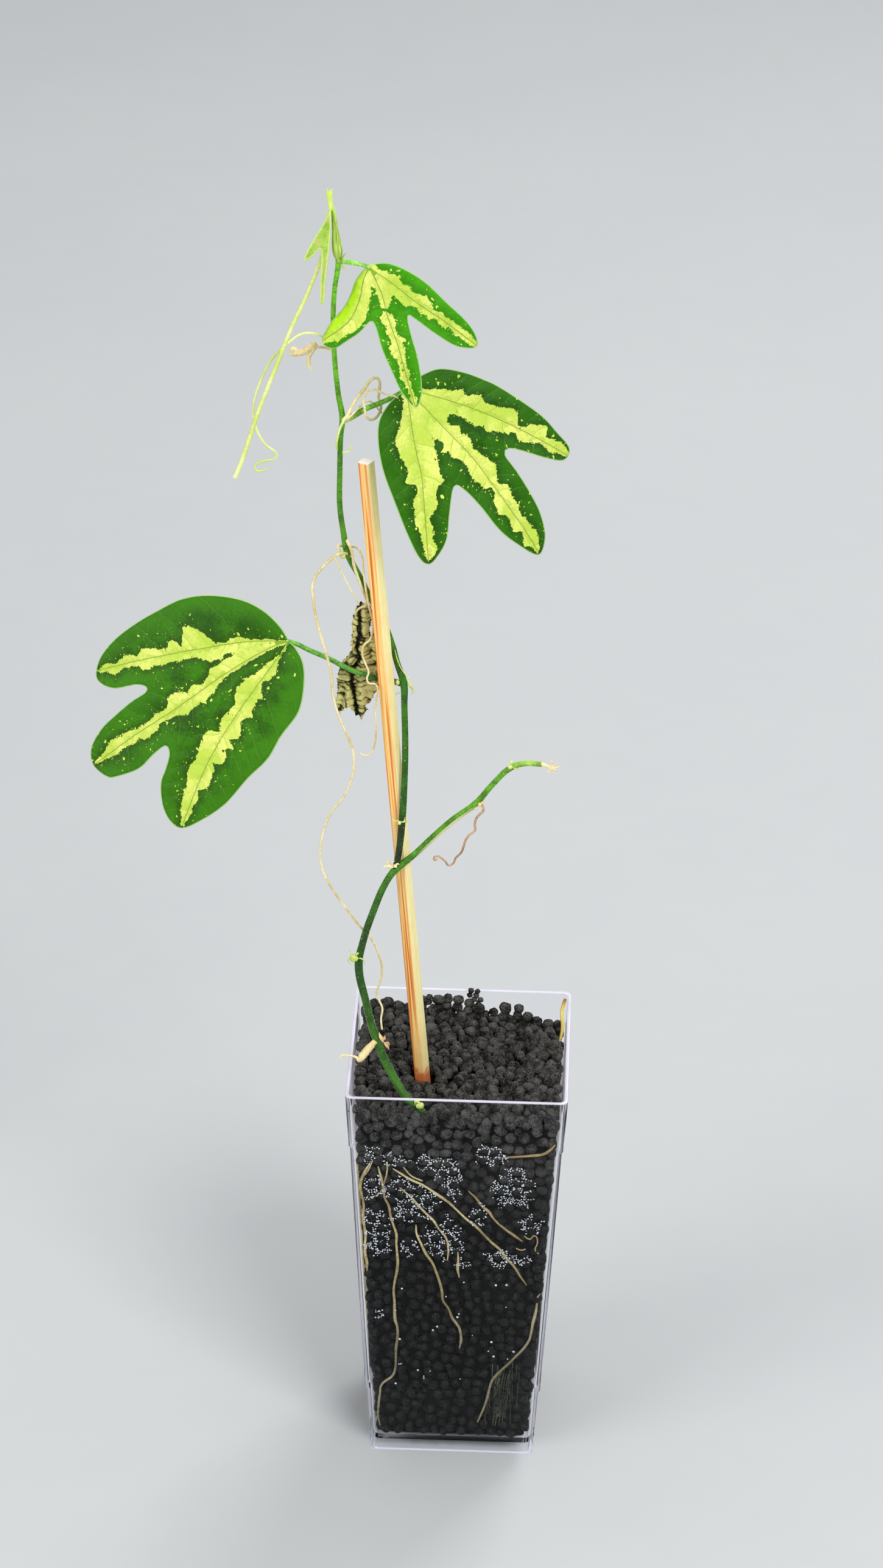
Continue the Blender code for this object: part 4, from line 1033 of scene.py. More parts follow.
def add_hairs(points, faces, route, radius, amount):
    """Scatter spikes round a route, standing off its skin."""
    line = smooth_line(route, 0.5)
    for _ in range(amount):
        k = random.randrange(1, len(line) - 1)
        centre = Vector(line[k])
        ahead = (Vector(line[k + 1]) - Vector(line[k - 1])).normalized()
        out = ahead.orthogonal().normalized()
        out.rotate(Matrix.Rotation(random.uniform(0, 6.28), 3, ahead))
        foot = centre + out * (radius - HAIR_ROOT_DEPTH)
        side = out.cross(ahead)
        tip = foot + (out + 0.5 * random.uniform(-1, 1) * ahead) * HAIR_LENGTH * random.uniform(0.5, 1)
        start = len(points)
        for k in range(3):
            angle = 2 * math.pi * k / 3
            points.append(at(foot + (ahead * math.cos(angle) + side * math.sin(angle)) * HAIR_WIDTH))
        points.append(at(tip))
        faces += [(start, start + 1, start + 3), (start + 1, start + 2, start + 3),
                  (start + 2, start, start + 3), (start + 2, start + 1, start)]


points, faces = [], []
add_hairs(points, faces, OLD_STEM_ROUTE[3:], 1.05, 1300)
add_hairs(points, faces, SHOOT_ROUTE[:14], 0.9, 1000)
add_hairs(points, faces, SHOOT_ROUTE[13:], 0.75, 800)
hair_white, shader, place = new_material("stem_hair", roughness=0.6)
tone = noise_value(place, 0.8, 1.0)
paint(shader, blend_colour(tone, (170, 196, 130), (236, 240, 220)))
hairs = mesh_piece("stem_hairs", points, faces)
keep_piece(hairs, hair_white, "stem_green")
print(len(hairs.data.polygons), "faces of hair")

# %% [markdown]
# ## Leaf stalks
# Each leaf stands on a stalk that starts at a node of the shoot with a small swelling and runs
# under the blade's base. The tubes begin inside the stem and end inside the blade, so no seam
# shows.

# %% Leaf stalks
stalk_green = stem_material("stalk_skin", 230, 360, [
    (230, (36, 82, 24)), (234, (52, 108, 30)), (240, (86, 150, 46)), (246, (104, 168, 56)),
    (309, (176, 204, 84)), (312, (112, 170, 50)), (318, (98, 166, 44)), (350, (120, 190, 60)),
    (356, (150, 214, 84))])
STALKS = {
    "petiole_left": ([
        (-16.6, -5.9, 232.9), (-19.9, -4.9, 233.4), (-21.8, -5.2, 233.9), (-24.2, -6.3, 234.8),
        (-26.6, -6.9, 236.0), (-28.8, -7.2, 236.8), (-32.3, -7.5, 238.6), (-35.5, -7.8, 240.6),
        (-40.6, -8.0, 243.0), (-44.9, -8.1, 245.2), (-46.4, -8.4, 245.7)], 0.8, 0.62),
    "petiole_middle": ([
        (-32.3, -9.7, 309.8), (-30.4, -9.4, 310.6), (-26.6, -8.8, 312.8), (-21.9, -8.2, 314.8),
        (-19.0, -7.9, 316.3), (-16.9, -7.9, 317.7), (-15.8, -8.5, 318.2)], 0.85, 0.5),
    "petiole_upper": ([
        (-33.3, -13.1, 355.0), (-30.5, -14.6, 355.5), (-28.8, -15.2, 355.4), (-26.5, -15.8, 355.1),
        (-25.2, -16.2, 354.8)], 0.62, 0.46),
}
for name, (route, start, end) in STALKS.items():
    stalk = grown_tube(name + "_grown", route, taper(route, start, end, [(1, 1.08)]), 3, 6)
    keep_piece(stalk, stalk_green, "petiole_green", name)
print(len(STALKS), "leaf stalks")

# %% [markdown]
# ## Tendrils
# A passion flower climbs by tendrils. The young one is stout and still straight; older ones have
# thinned, looped and dried to a cream thread. Each is one tapering tube through chosen points.

# %% Tendril materials


def thread_material(name, dark, light, roughness=0.5):
    """A thin dry or living thread, mottled between two colours."""
    material, shader, place = new_material(name, roughness=roughness, Specular_IOR_Level=0.35)
    tone = mottle(place, 0.12, 1.4, 0.4)
    colour = blend_colour(remap(tone, 0.35, 0.65), dark, light)
    paint(shader, colour)
    bump_onto(shader, noise_value(place, 3.0, 2.0), 0.1, 0.5)
    return material


pale_thread = thread_material("tendril_fresh", (206, 222, 110), (240, 246, 168))
cream_thread = thread_material("tendril_old", (206, 188, 124), (248, 236, 190))
brown_thread = thread_material("tendril_dead", (158, 118, 88), (214, 180, 146), 0.7)
print("tendril materials ready")

# %% Tendrils
TENDRILS = [
    ("tendril_upper_stout", "tendril_pale", pale_thread, 0.5, 0.62, [
        (-35.9, -14.6, 368.5), (-36.1, -14.2, 363.0), (-36.9, -14.0, 358.6), (-40.8, -15.3, 347.4),
        (-44.8, -16.1, 338.3), (-48.7, -16.9, 327.7), (-52.7, -17.6, 317.0), (-56.1, -18.4, 306.3),
        (-57.6, -19.2, 301.7), (-59.2, -20.0, 297.8)]),
    ("tendril_upper_hooked", "tendril_pale", pale_thread, 0.36, 0.26, [
        (-34.4, -11.4, 330.4), (-35.8, -11.6, 332.4), (-36.9, -12.0, 333.6), (-40.1, -12.3, 334.9),
        (-42.7, -12.6, 334.7), (-45.8, -12.9, 332.5), (-49.5, -13.2, 328.8), (-52.8, -13.5, 322.4),
        (-54.9, -13.8, 312.9), (-54.0, -14.0, 308.6), (-51.7, -14.0, 304.4), (-49.0, -14.0, 302.0),
        (-49.2, -14.0, 300.8), (-51.7, -14.0, 300.0), (-54.1, -14.0, 298.9), (-54.3, -14.0, 297.3),
        (-52.7, -14.0, 297.1), (-51.5, -14.0, 297.8)]),
    ("tendril_middle_looped", "tendril_tan", cream_thread, 0.5, 0.24, [
        (-32.2, -10.4, 310.2), (-31.2, -11.0, 311.6), (-29.8, -10.6, 314.6), (-27.0, -10.2, 318.8),
        (-24.1, -9.5, 321.9), (-23.2, -8.9, 321.0), (-23.1, -7.8, 317.6), (-23.3, -6.8, 315.1),
        (-22.7, -6.4, 312.6), (-23.2, -7.4, 310.9), (-24.6, -9.3, 310.2), (-25.9, -10.8, 311.2),
        (-26.7, -11.3, 314.5), (-26.8, -11.3, 317.3), (-25.8, -11.0, 318.8), (-24.1, -10.4, 318.9),
        (-21.8, -10.3, 317.9), (-20.1, -10.6, 317.6), (-19.0, -10.9, 317.5), (-18.2, -10.6, 316.9)]),
    ("tendril_middle_side", "tendril_tan", cream_thread, 0.28, 0.2, [
        (-31.4, -10.6, 310.4), (-30.2, -11.4, 311.9), (-29.4, -11.0, 312.6), (-28.3, -9.6, 313.4),
        (-26.9, -7.9, 314.2), (-25.4, -6.6, 314.0), (-24.2, -6.3, 313.0), (-23.2, -6.6, 311.6),
        (-22.3, -6.9, 310.9)]),
    ("tendril_middle_down", "tendril_pale", pale_thread, 0.38, 0.24, [
        (-31.6, -10.8, 311.4), (-32.1, -11.2, 310.2), (-32.7, -11.2, 308.9), (-33.4, -11.2, 306.3),
        (-33.8, -11.0, 303.6), (-33.7, -10.2, 301.9)]),
    ("tendril_middle_hook", "tendril_pale", pale_thread, 0.25, 0.18, [
        (-32.4, -8.9, 300.6), (-31.6, -9.3, 300.8), (-30.6, -9.6, 301.2), (-30.0, -9.9, 302.1),
        (-30.3, -10.1, 303.0)]),
    ("tendril_lower_long", "tendril_tan", cream_thread, 0.42, 0.26, [
        (-31.2, -6.6, 270.8), (-33.1, -8.6, 271.6), (-34.6, -8.8, 270.6), (-36.8, -9.0, 268.5),
        (-39.0, -9.2, 265.6), (-40.0, -9.4, 262.7), (-39.7, -9.7, 257.9), (-38.7, -10.0, 252.1),
        (-36.8, -10.2, 244.8), (-35.0, -10.5, 237.5), (-34.3, -10.8, 230.2), (-31.9, -11.1, 222.8),
        (-29.6, -11.4, 217.1), (-28.9, -11.7, 212.5), (-29.7, -11.9, 206.5), (-32.2, -12.2, 201.1),
        (-34.5, -12.5, 198.2), (-36.6, -12.8, 192.6), (-37.7, -13.1, 185.9), (-37.0, -13.2, 180.4),
        (-34.5, -13.0, 174.7), (-30.7, -12.4, 168.4), (-27.1, -11.4, 162.5), (-23.8, -10.9, 158.1),
        (-22.2, -11.8, 154.9), (-21.0, -13.4, 151.1), (-21.3, -14.6, 147.4), (-22.3, -14.7, 144.0),
        (-21.5, -15.2, 141.6), (-20.7, -15.8, 139.9), (-21.0, -16.2, 136.7), (-20.7, -16.9, 133.8)]),
    ("tendril_lower_branch", "tendril_tan", cream_thread, 0.26, 0.2, [
        (-34.4, -8.9, 270.7), (-33.0, -9.2, 267.8), (-31.4, -8.8, 264.2), (-30.0, -8.3, 260.9),
        (-28.9, -7.6, 258.7), (-28.1, -6.4, 255.9)]),
    ("tendril_lower_side", "tendril_tan", cream_thread, 0.32, 0.22, [
        (-33.2, -8.2, 272.0), (-33.6, -7.2, 273.2), (-32.7, -5.6, 272.4), (-31.2, -4.2, 271.5),
        (-29.7, -4.8, 271.9), (-28.3, -6.6, 272.1), (-27.4, -7.5, 270.7), (-26.9, -7.8, 267.0),
        (-26.4, -8.0, 262.7), (-25.7, -8.0, 258.2), (-25.1, -7.6, 254.9), (-24.4, -7.2, 251.8),
        (-24.5, -7.2, 248.3), (-25.2, -7.4, 246.2), (-26.6, -7.6, 244.9), (-27.0, -8.0, 242.3),
        (-26.1, -8.6, 239.8), (-25.3, -9.2, 237.7), (-25.7, -9.7, 236.1), (-25.2, -10.2, 235.1),
        (-23.4, -10.5, 234.9), (-22.8, -10.6, 232.7), (-23.2, -10.6, 230.2), (-23.3, -10.5, 225.8),
        (-23.2, -10.4, 220.4), (-23.6, -10.3, 216.7), (-24.7, -10.1, 214.2), (-26.3, -9.9, 213.5),
        (-27.5, -9.7, 214.1)]),
    ("tendril_dried", "tendril_brown", brown_thread, 0.36, 0.26, [
        (4.6, -14.4, 202.6), (5.3, -15.4, 202.2), (5.5, -15.4, 201.0), (4.5, -15.2, 199.6),
        (3.7, -14.8, 198.2), (3.3, -14.7, 196.2), (3.4, -14.6, 194.6), (1.9, -14.5, 193.0),
        (1.0, -14.4, 191.4), (0.5, -14.3, 189.6), (-0.2, -14.1, 187.4), (-1.6, -13.9, 185.6),
        (-2.4, -13.7, 183.7), (-3.6, -13.6, 183.2), (-4.3, -13.6, 184.2), (-5.4, -13.6, 185.2),
        (-6.4, -13.7, 185.9), (-7.4, -13.7, 185.4), (-7.2, -13.6, 184.6), (-6.5, -13.6, 185.0)]),
    ("dried_leaf_stalk", "dried_olive", cream_thread, 0.42, 0.3, [
        (-31.4, -6.6, 274.6), (-30.6, -7.9, 273.8), (-30.0, -7.9, 272.2), (-29.3, -7.5, 267.6),
        (-28.0, -7.1, 263.2), (-26.8, -6.7, 259.4), (-26.1, -6.1, 256.6), (-26.8, -4.9, 254.8),
        (-28.0, -4.4, 254.0), (-29.0, -4.4, 252.8)]),
]
for name, slot, material, start, end, route in TENDRILS:
    tendril = grown_tube(name + "_grown", route, taper(route, start, end), 2, 6)
    keep_piece(tendril, material, slot, name)
print(len(TENDRILS), "tendrils and threads")

# %% [markdown]
# ## Buds, stipules and scars
# Every node carries small grown parts: a bud in the angle of the leaf, and narrow pointed
# stipules beside it. A bud is a ball made uneven with a noise displacement. A stipule is a short
# tube that thins to a point. Each node's parts are joined into one piece.

# %% Node part helpers
BUD_ROUGHNESS = 0.35
BUD_LUMP_SIZE = 0.9
STIPULE_TIP = 0.04
lump_texture = bpy.data.textures.new("small_lumps", "CLOUDS")
lump_texture.noise_scale = BUD_LUMP_SIZE * MM


def bud_ball(centre, sizes):
    """A lumpy ball with three half sizes in millimetres."""
    pick()
    bpy.ops.mesh.primitive_uv_sphere_add(segments=16, ring_count=10, radius=MM)
    ball = bpy.context.object
    for corner in ball.data.vertices:
        corner.co = Vector([c * s for c, s in zip(corner.co, sizes)]) + at(centre)
    bpy.ops.object.shade_smooth()
    apply_modifier(ball, "DISPLACE", texture=lump_texture, texture_coords="LOCAL",
                   strength=BUD_ROUGHNESS * MM, mid_level=0.5)
    return ball


def stipule(route, width):
    """A pointed scale: widest a third of the way along."""
    radii = [width * 0.6, width] + [width * 0.6] * (len(route) - 3) + [STIPULE_TIP]
    return grown_tube("stipule", route, radii, 1, 4)


fresh_bud = thread_material("bud_fresh", (176, 196, 84), (236, 242, 156))
cream_bud = thread_material("bud_dry", (206, 178, 104), (250, 232, 178), 0.65)
scar_brown = thread_material("scar_brown", (196, 142, 92), (244, 220, 168), 0.7)
print("node part helpers ready")

# %% Buds, stipules and scars
NODE_PARTS = [
    ("bud_at_soil", "bud_yellow", fresh_bud, [((-9.9, -24.9, 114.9), (1.1, 0.7, 0.95))], [
        ([(-11.2, -24.0, 114.6), (-10.9, -24.6, 116.0), (-9.4, -25.2, 115.4)], 0.5),
        ([(-13.4, -23.0, 116.0), (-12.0, -24.0, 116.4), (-10.6, -24.4, 116.2),
          (-9.6, -24.4, 116.0)], 0.16)]),
    ("leaf_scar", "tendril_brown", scar_brown, [
        ((-20.6, -18.4, 131.8), (0.5, 0.45, 0.6))], [
        ([(-20.3, -18.3, 130.8), (-21.0, -18.5, 132.4), (-21.4, -18.4, 133.8)], 0.55),
        ([(-20.4, -18.4, 131.2), (-19.9, -18.8, 132.2), (-19.8, -18.9, 133.2)], 0.4),
        ([(-20.0, -18.4, 130.6), (-19.2, -19.0, 129.9), (-18.6, -19.3, 128.9)], 0.5),
        ([(-19.8, -18.6, 130.4), (-19.0, -19.0, 130.9), (-18.5, -19.2, 130.3)], 0.34)]),
    ("bud_lower", "bud_yellow", fresh_bud, [((-28.4, -16.3, 155.4), (1.15, 1.0, 1.1))], [
        ([(-28.8, -17.2, 156.2), (-29.8, -17.0, 155.7), (-29.7, -17.2, 154.6),
          (-28.9, -17.4, 154.1)], 0.22),
        ([(-28.4, -16.4, 156.2), (-29.5, -16.4, 157.3), (-29.9, -16.4, 158.6)], 0.14),
        ([(-27.8, -16.6, 156.1), (-27.4, -16.6, 157.1), (-27.2, -16.4, 156.4)], 0.3),
        ([(-27.4, -16.6, 155.6), (-26.2, -16.8, 155.5), (-25.7, -16.8, 154.6),
          (-25.4, -16.8, 153.5)], 0.2)]),
    ("bud_fork", "bud_yellow", cream_bud, [
        ((-18.9, -12.6, 181.9), (0.85, 0.7, 0.75)), ((-17.6, -13.0, 182.2), (0.5, 0.5, 0.55))], [
        ([(-19.0, -12.7, 182.2), (-19.8, -12.9, 183.4), (-19.5, -13.0, 184.4)], 0.32),
        ([(-19.2, -12.8, 181.8), (-20.4, -13.0, 181.9), (-21.0, -13.2, 181.2)], 0.36),
        ([(-18.4, -13.1, 182.2), (-18.5, -13.4, 183.4), (-17.8, -13.5, 183.9)], 0.28),
        ([(-17.9, -13.0, 182.0), (-17.0, -13.3, 183.0), (-16.6, -13.4, 182.8)], 0.28)]),
    ("stipule_low", "tendril_pale", fresh_bud, [((-16.7, -13.1, 195.2), (0.55, 0.45, 0.6))], [
        ([(-16.9, -12.8, 195.8), (-17.9, -13.2, 195.9), (-18.7, -13.3, 196.8)], 0.22),
        ([(-16.2, -12.9, 195.6), (-15.6, -13.3, 195.7), (-15.2, -13.3, 197.2)], 0.24),
        ([(-15.6, -12.8, 195.5), (-14.8, -13.1, 195.6), (-14.2, -13.2, 196.4)], 0.2)]),
    ("stipule_bend", "bud_yellow", fresh_bud, [((-17.8, -6.9, 233.8), (0.55, 0.6, 0.8))], [
        ([(-18.6, -6.6, 243.2), (-17.9, -6.8, 240.4), (-16.4, -7.0, 237.2),
          (-14.6, -7.2, 235.2), (-13.9, -7.2, 234.7)], 0.2),
        ([(-15.2, -6.8, 234.6), (-14.4, -7.2, 233.2), (-13.7, -7.4, 231.8),
          (-14.1, -7.4, 230.6)], 0.42),
        ([(-17.0, -7.4, 230.9), (-17.9, -7.8, 231.1), (-18.2, -7.8, 230.4)], 0.18)]),
    ("bud_mid", "bud_yellow", fresh_bud, [((-32.3, -7.7, 270.6), (0.75, 0.7, 0.75))], [
        ([(-32.2, -7.8, 271.2), (-32.9, -8.3, 272.4), (-32.7, -8.4, 273.4)], 0.26),
        ([(-30.4, -6.9, 270.0), (-29.8, -7.2, 270.9), (-29.6, -7.3, 272.0)], 0.24)]),
    ("stipule_top", "tendril_pale", fresh_bud, [((-32.5, -13.2, 355.4), (0.5, 0.5, 0.55))], [
        ([(-32.5, -13.5, 355.6), (-31.9, -13.9, 357.0), (-31.2, -14.1, 357.9)], 0.2),
        ([(-32.8, -13.7, 354.4), (-32.0, -14.1, 353.9), (-31.2, -14.3, 353.7)], 0.36)]),
    ("bud_branch", "dried_cream", cream_bud, [((4.7, -14.8, 202.4), (0.6, 0.55, 0.5))], [
        ([(4.5, -14.8, 202.3), (5.3, -15.2, 203.3), (6.1, -15.4, 203.7)], 0.34),
        ([(4.2, -14.8, 202.0), (3.5, -15.1, 201.3), (3.0, -15.2, 201.3)], 0.26)]),
    ("bud_branch_end", "bud_yellow", fresh_bud, [((12.4, -18.2, 215.6), (0.7, 0.6, 0.6))], [
        ([(12.7, -18.1, 216.0), (12.6, -18.4, 217.2), (13.3, -18.6, 218.0)], 0.38),
        ([(12.9, -18.0, 215.6), (14.0, -18.4, 215.2), (15.0, -18.6, 215.4)], 0.2)]),
]
for name, slot, material, balls, points in NODE_PARTS:
    parts = [bud_ball(centre, sizes) for centre, sizes in balls]
    parts += [stipule(route, width) for route, width in points]
    keep_piece(joined(name + "_grown", parts), material, slot, name)
print(len(NODE_PARTS), "node parts")

# %% [markdown]
# ### Dried ends
# A dead side shoot near the soil shrank to a thick cream stub with a thread at its end. The old
# stem's tip dried into a little brush, and one bud high on the shoot withered on its stalk.

# %% Dried ends
stub = grown_tube("dried_stub_grown", [
    (-22.3, -18.6, 131.2), (-23.5, -18.95, 129.8), (-24.5, -19.3, 128.6), (-25.7, -19.7, 127.2),
    (-26.7, -20.0, 126.3), (-27.5, -20.1, 126.7), (-28.6, -20.2, 127.2), (-30.2, -20.3, 127.4),
    (-31.4, -20.5, 127.3), (-31.7, -20.6, 126.6)],
    [0.7, 1.0, 1.1, 1.15, 1.0, 0.32, 0.26, 0.24, 0.22, 0.28], 3, 6)
apply_modifier(stub, "DISPLACE", texture=lump_texture, texture_coords="LOCAL",
               strength=0.4 * MM, mid_level=0.5)
keep_piece(stub, cream_bud, "dried_cream", "dried_stub")
dry_bud = grown_tube("dried_bud_grown", [
    (-34.4, -11.4, 330.3), (-35.9, -11.6, 330.4), (-37.3, -11.8, 330.9), (-39.5, -12.0, 330.9),
    (-40.8, -12.1, 330.7), (-42.0, -12.2, 329.8), (-43.8, -12.4, 329.3), (-45.7, -12.6, 328.8)],
    [0.3, 0.3, 0.3, 0.5, 0.8, 0.9, 0.75, 0.15], 3, 5)
bracts = [
    grown_tube("bract", [(-39.4, -12.0, 330.6), (-40.6, -12.2, 328.8), (-40.9, -12.4, 326.6),
                         (-40.2, -12.5, 324.6)], [0.45, 0.6, 0.55, 0.2], 2, 5),
    grown_tube("bract", [(-38.6, -11.9, 330.8), (-39.6, -11.9, 332.0), (-40.4, -12.0, 332.2)],
               [0.4, 0.55, 0.2], 2, 5),
    grown_tube("bract", [(-43.4, -12.3, 329.4), (-45.0, -12.4, 330.6), (-45.8, -12.5, 330.0)],
               [0.6, 0.6, 0.25], 2, 5)]
dry_bud = joined("dried_bud_grown", [dry_bud] + bracts)
apply_modifier(dry_bud, "DISPLACE", texture=lump_texture, texture_coords="LOCAL",
               strength=0.35 * MM, mid_level=0.5)
keep_piece(dry_bud, cream_bud, "dried_cream", "dried_bud")
brush = [grown_tube("bristle", [(20.5, -19.9, 217.7), (21.8, -20.3, 217.5), (23.0, -20.7, 217.2)],
                    [0.62, 0.4, 0.4], 2, 4)]
for dx, dz in [(0.4, 2.2), (1.9, 1.8), (2.5, 0.5), (2.1, -0.9), (0.6, -1.6), (-0.6, -1.2)]:
    tip = (22.9 + dx, -20.8 - 0.2 * abs(dz), 217.1 + dz)
    middle = (22.9 + dx * 0.5 + 0.2, -20.9, 217.1 + dz * 0.45)
    brush.append(grown_tube("bristle", [(22.6, -20.6, 217.2), middle, tip], [0.3, 0.17, 0.2], 1, 3))
keep_piece(joined("old_stem_dried_brush", brush), cream_bud, "tendril_brown", "old_stem_dried_tip")
tip_sleeve = [grown_tube("sleeve", [(-35.2, -14.4, 369.6), (-35.4, -14.5, 371.6),
                                    (-35.6, -14.6, 373.8)], [0.6, 0.62, 0.85], 3, 5)]
for dx, dz in [(-0.55, 1.0), (0.15, 0.8), (0.7, 1.0)]:
    tip_sleeve.append(grown_tube("prong", [(-35.6 + dx * 0.5, -14.6, 373.5),
                                           (-35.6 + dx, -14.7, 373.9 + dz)], [0.3, 0.16], 1, 3))
tip_green = thread_material("growing_tip", (208, 232, 96), (238, 248, 140))
keep_piece(joined("growing_tip_grown", tip_sleeve), tip_green, "tendril_pale", "growing_tip")
print("dried ends and the growing tip")

# %% [markdown]
# ## Young leaves
# Two small leaves crowd the growing tip. The first has opened and hangs with one wide lobe and
# one narrow one. The second is still folded along its veins and hugs the shoot.

# %% The opened young leaf
YOUNG_LEAF = {
    "base": (-35.7, -15.0, 369.4), "azimuth": -8.0, "elevation": 15.0, "droop": 0.5,
    "folded_lobe": None, "step": 0.4, "rim_step": 0.4,
    "outline": [
        (0.4, 0.4), (-1.2, -3.4), (-3.4, -7.4), (-4.9, -10.6), (-5.7, -13.2), (-3.7, -12), (-1.6, -9.8),
        (-1.25, -12), (-1.2, -18), (-1.1, -23), (-0.5, -23.6), (0, -22.5), (0.05, -18), (0.5, -12),
        (0.8, -6), (0.7, -1)],
    "veins": [[(0, 0), (-2.6, -7), (-5.4, -12.8)], [(0, 0), (-0.2, -9), (-0.6, -23)]],
    "bands": [([(0, 0.3), (1, 0.2)], [(0, 0.3), (1, 0.2)]),
              ([(0, 0.4), (1, 0.2)], [(0, 0.4), (1, 0.2)])],
}


def young_leaf_material(name):
    """Soft yellow-green with a brown-pink flush near the middle and pale edges."""
    material, shader, place = new_material(name, roughness=0.5, Specular_IOR_Level=0.35)
    tone = mottle(place, 0.35, 2.2, 0.4)
    colour = blend_colour(remap(tone, 0.35, 0.65), (134, 176, 48), (176, 208, 88))
    flush = remap(noise_value(place, 0.28, 1.0), 0.48, 0.62, 0.0, 0.6)
    colour = blend_colour(flush, colour, (190, 186, 112))
    edge = remap(measure(place, "margin"), 0.15, 0.5, 0.8, 0.0)
    colour = blend_colour(edge, colour, (210, 236, 130))
    paint(shader, colour)
    bump_onto(shader, noise_value(place, 2.8, 3.0), 0.14, 0.6)
    return material


young_green = young_leaf_material("young_leaf_skin")
young_leaf = leaf_blade("young_leaf_blade", YOUNG_LEAF, young_green, young_green)
keep_piece(young_leaf, None, "young_green", "young_leaf")
print(len(young_leaf.data.polygons), "faces on the young leaf")

# %% The folded young leaf
FOLDED_SECTIONS = [
    ((-34.8, -14.8, 369.2), 0.15, 0.15), ((-34.4, -14.9, 366.5), 0.5, 0.4),
    ((-34.0, -15.1, 363.5), 0.75, 0.5), ((-33.7, -15.2, 360.5), 1.05, 0.6),
    ((-33.5, -15.1, 358.4), 1.1, 0.65), ((-33.3, -14.8, 356.6), 0.8, 0.6),
    ((-33.0, -14.2, 355.2), 0.45, 0.45),
]
FOLD_SIDES = 40
FOLD_PLEATS = 5
FOLD_ROW_STEP = 0.5
PLEAT_DEPTH = 0.22


def pleated_bundle(name, sections):
    """A closed bundle whose section is folded into pleats."""
    centres = smooth_line([(*c, w, d) for c, w, d in sections], FOLD_ROW_STEP)
    places, faces = [], []
    for x, y, z, width, depth in centres:
        for k in range(FOLD_SIDES):
            angle = 2 * math.pi * k / FOLD_SIDES
            pleat = 1 + PLEAT_DEPTH * math.cos(FOLD_PLEATS * angle + 0.1 * z)
            places.append(at((x + width * pleat * math.cos(angle),
                              y + depth * pleat * math.sin(angle), z)))
    for row in range(len(centres) - 1):
        for k in range(FOLD_SIDES):
            a, b = row * FOLD_SIDES + k, row * FOLD_SIDES + (k + 1) % FOLD_SIDES
            faces.append((a, a + FOLD_SIDES, b + FOLD_SIDES, b))
    last = (len(centres) - 1) * FOLD_SIDES
    faces.append(tuple(range(FOLD_SIDES)))
    faces.append(tuple(last + k for k in reversed(range(FOLD_SIDES))))
    bundle = mesh_piece(name, places, faces)
    bundle.data.shade_smooth()
    return bundle


folded_leaf = pleated_bundle("young_leaf_folded_bundle", FOLDED_SECTIONS)
folded_skin, shader, place = new_material("folded_leaf_skin", roughness=0.5)
stretched = node_on("VectorMath", {0: place, 1: (1.0, 1.0, 0.12)}, operation="MULTIPLY").outputs[0]
paint(shader, colour_steps(mottle(stretched, 0.9, 2.6, 0.4), [
    (0.34, (62, 108, 24)), (0.42, (132, 162, 58)), (0.5, (168, 200, 76)), (0.62, (208, 236, 120))]))
keep_piece(folded_leaf, folded_skin, "young_green", "young_leaf_folded")
print(folded_leaf.name, len(folded_leaf.data.polygons), "faces")

# %% [markdown]
# ## The withered leaf
# One leaf has dried on the plant and hangs behind the left stalk as a crumpled bundle. It is
# modelled as two crumpled sheets with the same ragged outline. Long folds run down it, short
# wrinkles cross them, and the height of each point is kept so that the finish can paint light and
# shade on it: pale ridges beside black hollows.

# %% A crumpled sheet
DRIED_BASE = (-27.2, -4.0, 254.2)
DRIED_OUTLINE = [
    (0.7, 0.6), (-0.8, 0.2), (-1.7, -1.0), (-2.5, -3.5), (-2.8, -5.2), (-2.5, -7.5), (-3.0, -11.5),
    (-2.3, -14.0), (-3.7, -15.5), (-4.8, -16.8), (-5.9, -18.6), (-6.7, -22.1), (-6.3, -24.4),
    (-6.9, -26.4), (-6.8, -28.7), (-6.5, -30.5), (-5.8, -31.9), (-5.2, -30.4), (-4.3, -29.7),
    (-3.5, -29.4), (-2.7, -30.4), (-1.8, -31.9), (-0.7, -32.1), (0.3, -32.9), (0.4, -31.5), (1.3, -30.5),
    (0.9, -29.5), (2.0, -27.9), (3.1, -25.6), (4.7, -23.3), (5.1, -20.5), (4.7, -18.0), (4.6, -14.2),
    (4.4, -10.8), (3.7, -8.8), (2.4, -9.8), (1.7, -7.8), (2.3, -4.3), (2.3, -1.8), (1.9, 0.1)]
SHEET_STEP = 0.32
SHEET_THICKNESS = 0.22
EDGE_TEAR = 0.6
FOLD_DEPTH = 0.55
WRINKLE_DEPTH = 0.5
GUTTER = ([2, 8, 12, 15, 18, 22, 27, 33], [-0.8, -0.6, -1.6, -0.6, -2.2, -2.9, -2.0, -1.0])
GUTTER_HALF_WIDTH = 0.6


